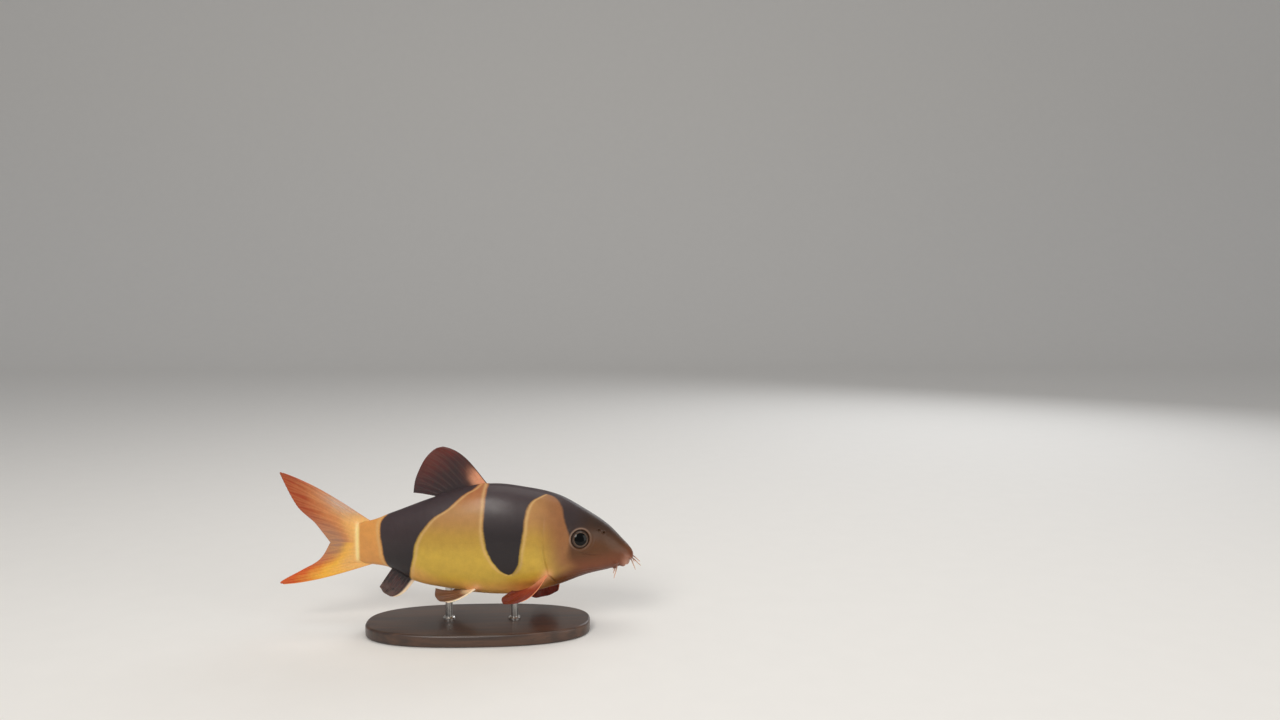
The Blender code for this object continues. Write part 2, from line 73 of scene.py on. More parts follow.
Colour = tuple[float, float, float]
Spot = tuple[float, float, float]
Knots = tuple[tuple[float, float], ...]
Shape = Callable[[np.ndarray, np.ndarray], np.ndarray]


class Side(Enum):
    """A flank of the fish, with the sign of its lateral places."""

    RIGHT = -1
    LEFT = 1

    @property
    def word(self) -> str:
        """The side's name as the nodes' names end in it."""
        return self.name.lower()


def tone(red: float, green: float, blue: float) -> Colour:
    """A linear colour from 0 to 255 display values.

    Args:
        red: the red display value.
        green: the green display value.
        blue: the blue display value.

    Returns:
        The colour as Blender's shaders take it.
    """
    shares = (value / 255 for value in (red, green, blue))
    return tuple(v / 12.92 if v <= 0.04045 else ((v + 0.055) / 1.055) ** 2.4 for v in shares)


def rise(low: float, high: float, value: np.ndarray) -> np.ndarray:
    """A smooth rise.

    Args:
        low: where it starts.
        high: where it ends.
        value: the places to read it at.

    Returns:
        0 below low, 1 above high, and a smooth rise between.
    """
    t = np.clip((value - low) / (high - low), 0.0, 1.0)
    return t * t * (3 - 2 * t)


def bump(value: np.ndarray, width: float) -> np.ndarray:
    """A bell of height 1 round zero."""
    return np.exp(-((value / width) ** 2))


def unit(vectors: np.ndarray) -> np.ndarray:
    """The vectors scaled to length 1."""
    length = np.linalg.norm(vectors, axis=-1, keepdims=True)
    return vectors / np.maximum(length, 1e-12)


def unsigned(turn: np.ndarray) -> np.ndarray:
    """The turn from the back's ridge on either side, from 0 to pi."""
    return np.abs(np.arctan2(np.sin(turn), np.cos(turn)))


@dataclass(frozen=True)
class Line:
    """A smooth function of s through knots. It runs over the root of s, which rounds the snout."""

    knots: Knots

    def __call__(self, s: np.ndarray) -> np.ndarray:
        """The line's value.

        Args:
            s: places along the body.

        Returns:
            The value at each place.
        """
        spots = np.sqrt([knot[0] for knot in self.knots])
        values = np.array([knot[1] for knot in self.knots])
        last = len(values) - 1
        before = np.maximum(np.arange(last + 1) - 1, 0)
        after = np.minimum(np.arange(last + 1) + 1, last)
        slopes = (values[after] - values[before]) / (spots[after] - spots[before])
        q = np.clip(np.sqrt(np.maximum(s, 0.0)), spots[0], spots[-1])
        i = np.clip(np.searchsorted(spots, q) - 1, 0, last - 1)
        h = spots[i + 1] - spots[i]
        t = (q - spots[i]) / h
        blend = (3 - 2 * t) * t * t
        ends = slopes[i] * (1 - t) - slopes[i + 1] * t
        return values[i] * (1 - blend) + values[i + 1] * blend + h * t * (1 - t) * ends


@dataclass(frozen=True)
class Form:
    """The plain body that every piece is fitted to, and its pose on the stand."""

    snout_ahead: float
    axis_height: float
    standard_length: float = 138.5
    fin_tip_length: float = 180.0
    bend_start: float = 52.0
    tail_swing: float = 14.0
    back_power: float = 1.85
    belly_power: float = 2.25
    gill_mid: float = 39.0
    gill_bulge: float = 5.5
    gill_slant: float = 3.0
    eye_s: float = 26.6
    eye_z: float = 2.7
    fork_z: float = -1.6
    top: Line = Line((
        (0, -8.0), (2, -3.5), (6, 0.9), (13, 8.0), (24, 15.6), (37, 22.9), (52, 26.8), (73, 28.8), (98, 22.6),
        (121, 14.0), (131, 10.0), (138.5, 9.0), (146, 9.6), (158, 11.0),
    ))
    belly: Line = Line((
        (0, -8.0), (1.2, -10.0), (4.6, -12.6), (12, -14.6), (24, -17.3), (40, -22.9), (56, -26.3),
        (74, -26.4), (95, -23.6), (109, -20.8), (122, -14.2), (131, -12.7), (138.5, -12.2), (146, -12.6),
        (158, -13.0),
    ))
    half_width: Line = Line((
        (0, 0.0), (2, 3.3), (6, 5.3), (14, 8.1), (28, 11.2), (44, 13.2), (60, 13.7), (80, 12.5), (100, 10.0),
        (121, 6.0), (131, 3.8), (138.5, 2.0), (145, 1.0), (151, 0.45), (158, 0.1),
    ))
    widest: Line = Line(((0, 0.5), (24, 0.40), (60, 0.42), (138.5, 0.5)))

    def middle(self, s: np.ndarray) -> np.ndarray:
        """Height of the widest point of the section at s."""
        return self.belly(s) + (self.top(s) - self.belly(s)) * self.widest(s)

    def section(self, s: np.ndarray, turn: np.ndarray) -> np.ndarray:
        """Spots on the plain body.

        Args:
            s: how far back from the snout.
            turn: radians from the back's ridge towards the fish's left.

        Returns:
            The spots, as s, lateral and z.
        """
        s, turn = np.broadcast_arrays(np.asarray(s, float), np.asarray(turn, float))
        middle, up, across = self.middle(s), np.cos(turn), np.sin(turn)
        power = np.where(up > 0, self.back_power, self.belly_power)
        reach = np.where(up > 0, self.top(s) - middle, middle - self.belly(s))
        lateral = self.half_width(s) * np.copysign(np.abs(across) ** (2 / power), across)
        height = middle + reach * np.copysign(np.abs(up) ** (2 / power), up)
        return np.stack((s, lateral, height), axis=-1)

    def outward(self, s: np.ndarray, turn: np.ndarray) -> np.ndarray:
        """Unit normals of the plain body.

        Args:
            s: how far back from the snout.
            turn: radians from the back's ridge.

        Returns:
            The normals, as s, lateral and z.
        """
        step = 0.02
        along = self.section(s + step, turn) - self.section(np.maximum(s - step, 0.001), turn)
        across = self.section(s, turn + step) - self.section(s, turn - step)
        return unit(np.cross(along, across))

    def turn_at(self, s: float, z: float, side: Side) -> float:
        """Turn at which a flank has a height.

        Args:
            s: how far back from the snout.
            z: the height.
            side: the flank.

        Returns:
            The turn in radians, below zero on the right.
        """
        low, high = 0.0, math.pi
        for _ in range(40):
            mid = (low + high) / 2
            low, high = (mid, high) if self.section(s, mid)[2] > z else (low, mid)
        return side.value * (low + high) / 2

    def gill_line(self, turn: np.ndarray) -> np.ndarray:
        """How far back the head reaches."""
        return self.gill_mid + self.gill_bulge * np.sin(turn) ** 2 + self.gill_slant * np.cos(turn)

    def swing(self, s: np.ndarray) -> np.ndarray:
        """How far the body's middle plane swings to the left at s."""
        share = np.maximum(s - self.bend_start, 0.0) / (self.fin_tip_length - self.bend_start)
        return self.tail_swing * share * share

    def place(self, spots: np.ndarray) -> np.ndarray:
        """Puts spots on the posed fish.

        Args:
            spots: places as s, lateral and z.

        Returns:
            World places in metres.
        """
        s, lateral, z = np.moveaxis(np.asarray(spots, float), -1, 0)
        reach = self.fin_tip_length - self.bend_start
        slope = 2 * self.tail_swing * np.maximum(s - self.bend_start, 0.0) / reach**2
        norm = np.hypot(1.0, slope)
        x = self.snout_ahead - s + lateral * slope / norm
        y = self.swing(s) + lateral / norm
        return np.stack((x, y, z + self.axis_height), axis=-1) * MM

    def half_at(self, s: np.ndarray, z: np.ndarray) -> np.ndarray:
        """Half the body's width at a place seen from the side.

        Args:
            s: how far back from the snout.
            z: the height.

        Returns:
            Half the width, and 0 outside the body.
        """
        middle = self.middle(s)
        power = np.where(z > middle, self.back_power, self.belly_power)
        reach = np.where(z > middle, self.top(s) - middle, middle - self.belly(s))
        share = np.minimum(np.abs(z - middle) / reach, 1.0)
        return self.half_width(s) * (1 - share**power) ** (1 / power)


def arithmetic(operation: str, reflected: bool = False) -> Callable[[Value, Value | float], Value]:
    """An operator of shader values.

    Args:
        operation: the Math node's operation.
        reflected: whether the other operand comes first.

    Returns:
        The method, which adds one Math node.
    """

    def method(self: Value, other: Value | float) -> Value:
        """Adds the Math node."""
        first, second = (other, self) if reflected else (self, other)
        return self.graph.maths(operation, first, second)

    return method


class Value:
    """A shader number that can be written in arithmetic."""

    def __init__(self, graph: Graph, socket: bpy.types.NodeSocket) -> None:
        """Wraps an output socket of the graph."""
        self.graph = graph
        self.socket = socket

    def __neg__(self) -> Value:
        """The value with its sign changed."""
        return self * -1.0

    __add__ = __radd__ = arithmetic("ADD")
    __sub__ = arithmetic("SUBTRACT")
    __rsub__ = arithmetic("SUBTRACT", reflected=True)
    __mul__ = __rmul__ = arithmetic("MULTIPLY")
    __truediv__ = arithmetic("DIVIDE")


class Graph:
    """The nodes of one material, built from expressions."""

    def __init__(self, name: str) -> None:
        """Starts a material that holds one Principled shader.

        Args:
            name: the material's name.
        """
        self.material = bpy.data.materials.new(name)
        self.material.use_nodes = True
        self.tree = self.material.node_tree
        self.shader = self.tree.nodes["Principled BSDF"]

    def node(self, kind: str, settings: dict | None = None, **sockets: object) -> bpy.types.Node:
        """Adds a node.

        Args:
            kind: the node's type.
            settings: its settings, which are made before its sockets.
            sockets: the values or links of its sockets, by name with _ for a space, or i and a number.

        Returns:
            The new node.
        """
        made = self.tree.nodes.new(kind)
        for word, setting in (settings or {}).items():
            setattr(made, word, setting)
        for word, given in sockets.items():
            key = int(word[1:]) if word[0] == "i" and word[1:].isdigit() else word.replace("_", " ")
            self.feed(made.inputs[key], given)
        return made

    def feed(self, socket: bpy.types.NodeSocket, given: object) -> None:
        """Links or sets one socket.

        Args:
            socket: the input socket.
            given: a value or an output socket to link, or a number, colour or vector to set.
        """
        if isinstance(given, Value):
            self.tree.links.new(given.socket, socket)
        elif isinstance(given, bpy.types.NodeSocket):
            self.tree.links.new(given, socket)
        elif socket.type == "RGBA":
            socket.default_value = (*given, 1.0)
        else:
            socket.default_value = given

    def maths(self, operation: str, first: Value | float, second: Value | float = 0.0) -> Value:
        """One Math node.

        Args:
            operation: the node's operation.
            first: its first operand.
            second: its second operand, if it has one.

        Returns:
            The result.
        """
        made = self.node("ShaderNodeMath", {"operation": operation}, i0=first, i1=second)
        return Value(self, made.outputs[0])

    def lowest(self, first: Value | float, second: Value | float) -> Value:
        """The lower of two values."""
        return self.maths("MINIMUM", first, second)

    def highest(self, first: Value | float, second: Value | float) -> Value:
        """The higher of two values."""
        return self.maths("MAXIMUM", first, second)

    def reach(self, first: Value, second: Value) -> Value:
        """The length of a vector with two parts."""
        return self.maths("SQRT", first * first + second * second)

    def bell(self, value: Value, width: float) -> Value:
        """A bell of height 1 round zero."""
        square = self.maths("POWER", self.maths("ABSOLUTE", value / width), 2.0)
        return self.maths("POWER", math.e, -square)

    def rise(self, low: float, high: float, value: Value) -> Value:
        """A smooth rise.

        Args:
            low: where it starts.
            high: where it ends.
            value: the number it reads.

        Returns:
            0 below low, 1 above high, and a smooth rise between.
        """
        smooth = {"interpolation_type": "SMOOTHSTEP"}
        made = self.node("ShaderNodeMapRange", smooth, i0=value, i1=low, i2=high)
        return Value(self, made.outputs[0])

    def mix(self, first: object, second: object, share: Value | float) -> bpy.types.NodeSocket:
        """A colour between two colours."""
        made = self.node("ShaderNodeMix", {"data_type": "RGBA"}, i0=share, i6=first, i7=second)
        return made.outputs[2]

    def coats(self, base: object, *coats: tuple[object, Value]) -> bpy.types.NodeSocket:
        """A colour under coats of others.

        Args:
            base: the lowest colour.
            coats: the colours over it, each with its share.

        Returns:
            The colour that shows.
        """
        for colour, share in coats:
            base = self.mix(base, colour, share)
        return base

    def shade(self, colour: object, share: Value) -> bpy.types.NodeSocket:
        """A colour made darker or lighter.

        Args:
            colour: the colour.
            share: the factor, round 1.

        Returns:
            The new colour.
        """
        grey = self.node("ShaderNodeCombineColor", None, i0=share, i1=share, i2=share).outputs[0]
        product = {"data_type": "RGBA", "blend_type": "MULTIPLY"}
        made = self.node("ShaderNodeMix", product, i0=1.0, i6=colour, i7=grey)
        return made.outputs[2]

    def vector(self, operation: str, first: object, second: object = (0.0, 0.0, 0.0)) -> bpy.types.Node:
        """One Vector Math node."""
        return self.node("ShaderNodeVectorMath", {"operation": operation}, i0=first, i1=second)

    def places(self) -> bpy.types.NodeSocket:
        """The Object coordinates."""
        return self.node("ShaderNodeTexCoord").outputs["Object"]

    def own_map(self) -> bpy.types.NodeSocket:
        """The places on the piece's own UV map."""
        return self.node("ShaderNodeUVMap", {"uv_map": "UVMap"}).outputs[0]

    def split(self, vector: bpy.types.NodeSocket) -> tuple[Value, Value, Value]:
        """The three parts of a vector."""
        made = self.node("ShaderNodeSeparateXYZ", None, i0=vector)
        return tuple(Value(self, socket) for socket in made.outputs)

    def join(self, x: Value | float, y: Value | float, z: Value | float = 0.0) -> bpy.types.NodeSocket:
        """A vector from three parts."""
        return self.node("ShaderNodeCombineXYZ", None, i0=x, i1=y, i2=z).outputs[0]

    def noise(self, vector: bpy.types.NodeSocket, scale: float, detail: float = 2.0) -> Value:
        """Smooth noise from 0 to 1."""
        made = self.node("ShaderNodeTexNoise", None, Vector=vector, Scale=scale, Detail=detail)
        return Value(self, made.outputs[0])

    def cells(self, vector: bpy.types.NodeSocket, scale: float) -> Value:
        """Distance to the nearest of many scattered points."""
        made = self.node("ShaderNodeTexVoronoi", None, Vector=vector, Scale=scale)
        return Value(self, made.outputs["Distance"])

    def curve(self, value: Value, span: tuple[float, float], knots: Knots) -> Value:
        """A smooth function through knots, flat beyond them.

        Args:
            value: the number it reads.
            span: the lowest and highest result that the curve can give.
            knots: (value, result) pairs in rising order.

        Returns:
            The function's result.
        """
        first, last = knots[0][0], knots[-1][0]
        made = self.tree.nodes.new("ShaderNodeFloatCurve")
        made.mapping.extend = "HORIZONTAL"
        line = made.mapping.curves[0]
        shares = [((x - first) / (last - first), (y - span[0]) / (span[1] - span[0])) for x, y in knots]
        for index, share in enumerate(shares):
            if index in (0, len(shares) - 1):
                line.points[0 if index == 0 else -1].location = share
            else:
                line.points.new(*share)
        made.mapping.update()
        self.feed(made.inputs[0], 1.0)
        self.feed(made.inputs[1], (value - first) / (last - first))
        return Value(self, made.outputs[0]) * (span[1] - span[0]) + span[0]

    def attribute(self, name: str) -> Value:
        """A number that the mesh carries at its points."""
        made = self.node("ShaderNodeAttribute", {"attribute_name": name})
        return Value(self, made.outputs["Fac"])

    def relief(self, height: Value, depth: float, strength: float = 1.0) -> bpy.types.NodeSocket:
        """A Bump node's normal: a height from 0 to 1 that stands depth metres high."""
        return self.node("ShaderNodeBump", None, Strength=strength, Distance=depth, Height=height).outputs[0]

    def finish(self, **sockets: object) -> bpy.types.Material:
        """Feeds the Principled shader.

        Args:
            sockets: the values or links of its sockets, by name with _ for a space.

        Returns:
            The material.
        """
        for word, given in sockets.items():
            self.feed(self.shader.inputs[word.replace("_", " ")], given)
        return self.material


def alone() -> None:
    """Deselects everything."""
    for thing in bpy.context.selected_objects:
        thing.select_set(False)


def take(thing: bpy.types.Object) -> None:
    """Selects one object and makes it the active one.

    Args:
        thing: the object.
    """
    alone()
    thing.select_set(True)
    bpy.context.view_layer.objects.active = thing


def points_of(mesh: bpy.types.Mesh) -> np.ndarray:
    """The mesh's points.

    Args:
        mesh: the mesh.

    Returns:
        The points as an array.
    """
    flat = np.empty(len(mesh.vertices) * 3, np.float32)
    mesh.vertices.foreach_get("co", flat)
    return flat.reshape(-1, 3).astype(float)


def move_points(mesh: bpy.types.Mesh, points: np.ndarray) -> None:
    """Puts the mesh's points at new places."""
    mesh.vertices.foreach_set("co", points.astype(np.float32).ravel())
    mesh.update()


def grid(name: str, across: int, along: int) -> bpy.types.Object:
    """A flat grid from 0 to 1 both ways in its own x and y.

    Args:
        name: the piece's name.
        across: how many faces it has across.
        along: how many faces it has along.

    Returns:
        The new object.
    """
    alone()
    bpy.ops.mesh.primitive_grid_add(x_subdivisions=across, y_subdivisions=along, size=1.0)
    made = bpy.context.object
    made.name = made.data.name = name
    points = points_of(made.data)
    points[:, :2] += 0.5
    move_points(made.data, points)
    return made


def mould(made: bpy.types.Object, shape: Shape) -> None:
    """Moves a flat grid's points to a shape and shades it smooth.

    Args:
        made: the grid.
        shape: gives world places from the shares across and along.
    """
    flat = points_of(made.data)
    move_points(made.data, shape(flat[:, 0], flat[:, 1]))
    take(made)
    bpy.ops.object.shade_smooth()


def close(made: bpy.types.Object, reach: float = 2e-6) -> None:
    """Merges points that meet and turns every face outwards.

    Args:
        made: the piece, which is left selected.
        reach: how near two points are merged, in metres.
    """
    take(made)
    bpy.ops.object.mode_set(mode="EDIT")
    bpy.ops.mesh.select_all(action="SELECT")
    bpy.ops.mesh.remove_doubles(threshold=reach)
    bpy.ops.mesh.normals_make_consistent(inside=False)
    bpy.ops.object.mode_set(mode="OBJECT")


def rolled(name: str, around: int, along: int, shape: Shape) -> bpy.types.Object:
    """A grid rolled into a closed skin: its long edges meet, and its ends are drawn together.

    Args:
        name: the piece's name.
        around: how many faces it has around.
        along: how many faces it has along.
        shape: gives world places from the shares around and along.

    Returns:
        The new object.
    """
    made = grid(name, around, along)
    mould(made, shape)
    close(made)
    return made


def apply_all(made: bpy.types.Object) -> None:
    """Applies the object's modifiers in order.

    Args:
        made: the object.
    """
    take(made)
    for modifier in list(made.modifiers):
        bpy.ops.object.modifier_apply(modifier=modifier.name)


def report(made: bpy.types.Object) -> None:
    """Logs a finished piece."""
    LOG.info("%s: %d faces of %s", made.name, len(made.data.polygons), made.data.materials[0].name)


def root_highlight_share(graph: Graph, up: Value) -> Value:
    """How strong the painted highlight line across the root of the tail fin is at a height from its middle.
    """
    return 1.0 - graph.rise(6.5, 12.0, graph.maths("ABSOLUTE", up))


@dataclass(frozen=True)
class SkinFinish:
    """The wet skin: amber flanks, three dark bands with pale margins, and a brown-grey snout."""

    form: Form
    band: Colour = tone(34, 26, 28)
    # Painted sheen: a paler tone laid over the top of the dark bands, where light from above falls on them
    band_painted_sheen: Colour = tone(64, 50, 52)
    margin: Colour = tone(214, 176, 116)
    flank_low: Colour = tone(200, 164, 62)
    flank_mid: Colour = tone(182, 144, 56)
    flank_top: Colour = tone(172, 124, 68)
    ridge: Colour = tone(164, 100, 56)
    shoulder: Colour = tone(142, 92, 54)
    belly: Colour = tone(226, 164, 98)
    # Painted shade: a dark brown laid under the head, where shadow falls
    throat: Colour = tone(98, 46, 18)
    blush: Colour = tone(206, 92, 40)
    # Painted highlight on the fold of skin round the eye
    lid_highlight: Colour = tone(158, 128, 108)
    # The paired fins' pale root tone carried onto the skin round them, partly the fleshy lobe's own tone and
    # partly a painted highlight
    fin_foot: Colour = tone(222, 154, 110)
    peduncle: Colour = tone(214, 148, 76)
    # Painted highlight: a pale line across the end of the body, where the root of the tail fin catches the
    # light
    root_highlight: Colour = tone(255, 226, 150)
    snout: Colour = tone(88, 50, 16)
    snout_top: Colour = tone(50, 30, 16)
    cheek: Colour = tone(118, 62, 32)
    cheek_low: Colour = tone(84, 36, 8)
    lips: Colour = tone(200, 150, 128)
    lid_radius: float = 5.1
    mask_rear: Knots = (
        (-26, 40.0), (-19, 35.5), (-15, 30.5), (-12, 30.0), (-8.5, 32.4), (-5.0, 33.2), (-2.2, 32.6),
        (1.7, 31.8), (5.1, 32.2), (11.2, 34.1), (19.3, 36.2), (21.8, 38.4), (23.6, 42.0), (24.2, 46.0),
    )
    second_front: Knots = (
        (-14.2, 61.6), (-13.6, 60.0), (-12.4, 58.6), (-9.9, 57.2), (-2.8, 56.0), (3.4, 55.0), (9.5, 54.1),
        (13.7, 53.8), (18.8, 52.3), (21.3, 50.2), (23.1, 46.6), (24.2, 43.0),
    )
    second_rear: Knots = (
        (-14.2, 61.6), (-13.6, 63.4), (-12.4, 65.5), (-9.2, 68.5), (-2.9, 72.1), (3.3, 73.6), (9.6, 74.1),
        (20.2, 73.6), (28.8, 72.4),
    )
    third_front: Knots = (
        (-21, 112.2), (-15.4, 111.3), (-8.1, 109.5), (-0.4, 107.9), (7.1, 104.2), (13.0, 99.0), (17.9, 91.6),
        (24.4, 84.0), (26.6, 79.8), (28.8, 77.0),
    )
    third_rear: Knots = (
        (-16, 119.8), (-12.9, 123.0), (-10.0, 124.4), (-6.8, 125.0), (2.3, 126.4), (5.7, 126.9), (9.4, 126.7),
        (11.4, 125.4), (13.0, 123.6), (15.0, 122.4),
    )

    def markings(self, graph: Graph, s: Value, z: Value) -> tuple[Value, Value]:
        """Depths inside the markings, in millimetres, below zero outside them.

        Args:
            graph: the material's nodes.
            s: where a spot lies along the body.
            z: its height.

        Returns:
            The depth inside the head's dark mask, and inside the second and third bands.
        """
        knots = (self.mask_rear, self.second_front, self.second_rear, self.third_front, self.third_rear)
        mask_rear, front_2, rear_2, front_3, rear_3 = (graph.curve(z, (20.0, 140.0), edge) for edge in knots)
        foot = z * 4.0 + 57.0
        second = graph.lowest(graph.lowest(s - front_2, rear_2 - s), foot)
        third = graph.lowest(s - front_3, rear_3 - s)
        nape = graph.lowest(s - front_2, foot) - 400.0 * graph.rise(60.0, 64.0, s)
        return graph.highest(mask_rear - s, nape), graph.highest(second, third)

    def light_tone(self, graph: Graph, s: Value, z: Value) -> bpy.types.NodeSocket:
        """The skin's colour between the bands.

        Args:
            graph: the material's nodes.
            s: where a spot lies along the body.
            z: its height.

        Returns:
            The colour.
        """
        up = graph.rise(-14.0, 22.0, z)
        keel = 1.0 - graph.rise(-24.0, -15.0, z + graph.rise(90.0, 118.0, s) * -9.0)
        shoulder = 1.0 - graph.rise(35.0, 50.0, s - z * 0.12)
        ends = root_highlight_share(graph, z - self.form.fork_z)
        blush = graph.bell(s - 53.0, 9.5) * (1.0 - graph.rise(-23.5, -14.5, z))
        # Painted shade: the underside of the head is darkened with the throat colour, up to a line that
        # climbs towards the snout
        under = (1.0 - graph.rise(36.0, 57.0, s)) * (1.0 - graph.rise(-16.8, -11.0, z + (s - 36.5) * 0.36))
        return graph.coats(
            self.flank_low,
            (self.flank_mid, graph.rise(0.1, 0.45, up)),
            (self.flank_top, graph.rise(0.4, 0.9, up)),
            (self.ridge, graph.rise(15.0, 27.0, z) * graph.rise(64.0, 76.0, s)),
            (self.belly, keel * 0.7),
            (self.shoulder, shoulder * graph.rise(-30.0, -6.0, z) * 0.95),
            (self.peduncle, graph.rise(108.0, 126.0, s)),
            # painted highlight across the root of the tail
            (self.root_highlight, graph.rise(137.2, 138.8, s) * ends * 0.95),
            (self.blush, blush * 0.65),
            # painted shade under the head
            (self.throat, under * 0.9),
        )

    def dark_tone(self, graph: Graph, s: Value, z: Value) -> bpy.types.NodeSocket:
        """The skin's colour on the head and in the bands.

        Args:
            graph: the material's nodes.
            s: where a spot lies along the body.
            z: its height.

        Returns:
            The colour.
        """
        # Painted sheen: the dark bands turn paler towards the top of the body, as if lit from above
        over = z + graph.highest(s - 73.0, 0.0) * 0.3
        band = graph.mix(self.band, self.band_painted_sheen, graph.rise(2.0, 26.0, over) * 0.85)
        behind_eye = graph.rise(20.0, 31.0, s) * graph.rise(-5.0, 6.0, z)
        return graph.coats(
            self.snout,
            (self.snout_top, graph.rise(-4.0, 8.0, z - s * 0.3 + 3.0)),
            (self.cheek, 1.0 - graph.rise(-12.0, -2.0, z + s * 0.12 - 2.0)),
            (self.cheek_low, 1.0 - graph.rise(-16.0, -9.0, z + s * 0.1 - 1.0)),
            (band, behind_eye * 0.8),
            (band, graph.rise(36.0, 44.0, s)),
        )

    def material(self) -> bpy.types.Material:
        """Builds the skin's material.

        Returns:
            The material.
        """
        graph = Graph("skin")
        spot = graph.places()
        x, y, height = graph.split(spot)
        s = self.form.snout_ahead - x * PER_METRE
        z = height * PER_METRE - self.form.axis_height
        wander = (graph.noise(spot, 110.0, 2.0) - 0.5) * 1.4 + (graph.noise(spot, 900.0, 2.0) - 0.5) * 0.5
        head, bands = self.markings(graph, s + wander, z)
        low = 1.0 - graph.rise(-16.0, 5.0, z)
        soft = 0.8 + low * 5.5
        head = graph.rise(-soft, soft * 0.9, head - low * 1.5)
        dark = graph.highest(graph.rise(-0.55, 0.75, bands), head)
        beside = graph.bell(bands + 1.2, 0.8)

        lip = graph.attribute("lip")
        ahead, up = s - self.form.eye_s, z - self.form.eye_z
        # Painted highlight: a pale ring on the fold round the eye, strongest on its upper rear side
        lid_highlight_share = graph.bell(graph.reach(ahead, up) - self.lid_radius, 0.45)
        lid_highlight_share = lid_highlight_share * (graph.rise(-5.0, 5.0, up + ahead * 0.6) * 0.5 + 0.15)
        colour = graph.coats(
            self.light_tone(graph, s, z),
            (self.margin, beside * 0.5),
            (self.dark_tone(graph, s, z), dark),
            (self.lips, lip * 0.8),
            # fin roots' tone, partly a painted highlight
            (self.fin_foot, graph.attribute("foot") * 0.85),
            (self.lid_highlight, lid_highlight_share),
        )
        mottle = graph.noise(spot, 260.0, 3.0) * 0.3 + graph.noise(spot, 1500.0, 2.0) * 0.16 + 0.77
        colour = graph.shade(colour, mottle)

        scales = graph.cells(graph.join(x, y, height * 1.6), 3300.0)
        muscle = graph.noise(graph.join(x + height * 0.3, y * 0.2, height * 0.15), 300.0, 1.0)
        creases = graph.noise(spot, 1900.0, 3.0)
        pores = graph.bell(z - 3.2 + (s - 42.0) * 0.047, 0.28) * (graph.maths("SINE", s * 4.5) * 0.35 + 0.65)
        pores = pores * graph.rise(39.0, 44.0, s) * 0.35
        texture = graph.relief(scales * 0.22 + muscle * 1.3 + creases * (lip * 1.6 + 0.35) - pores, 0.00009)
        rough = 0.34 + graph.noise(spot, 500.0, 2.0) * 0.16
        return graph.finish(
            Base_Color=colour, Roughness=rough, Normal=texture, Coat_Weight=0.2, Coat_Roughness=0.2,
            Subsurface_Weight=0.1, Subsurface_Scale=0.003, Subsurface_Radius=(1.0, 0.45, 0.2), IOR=1.38,
        )


@dataclass(frozen=True)
class Root:
    """Where the skin swells round the root of a fin or a barbel."""

    start: np.ndarray
    end: np.ndarray
    push: np.ndarray
    width: float
    blush: float = 0.0

    def away(self, spots: np.ndarray) -> np.ndarray:
        """Distances from the root's line.

        Args:
            spots: places as s, lateral and z.

        Returns:
            How far each is from the line.
        """
        line = self.end - self.start
        share = np.clip((spots - self.start) @ line / max(float(line @ line), 1e-9), 0.0, 1.0)
        return np.linalg.norm(spots - self.start - share[..., None] * line, axis=-1)

    def pull(self, spots: np.ndarray) -> np.ndarray:
        """How far spots are drawn out towards the fin or barbel."""
        return bump(self.away(spots), self.width)[..., None] * self.push


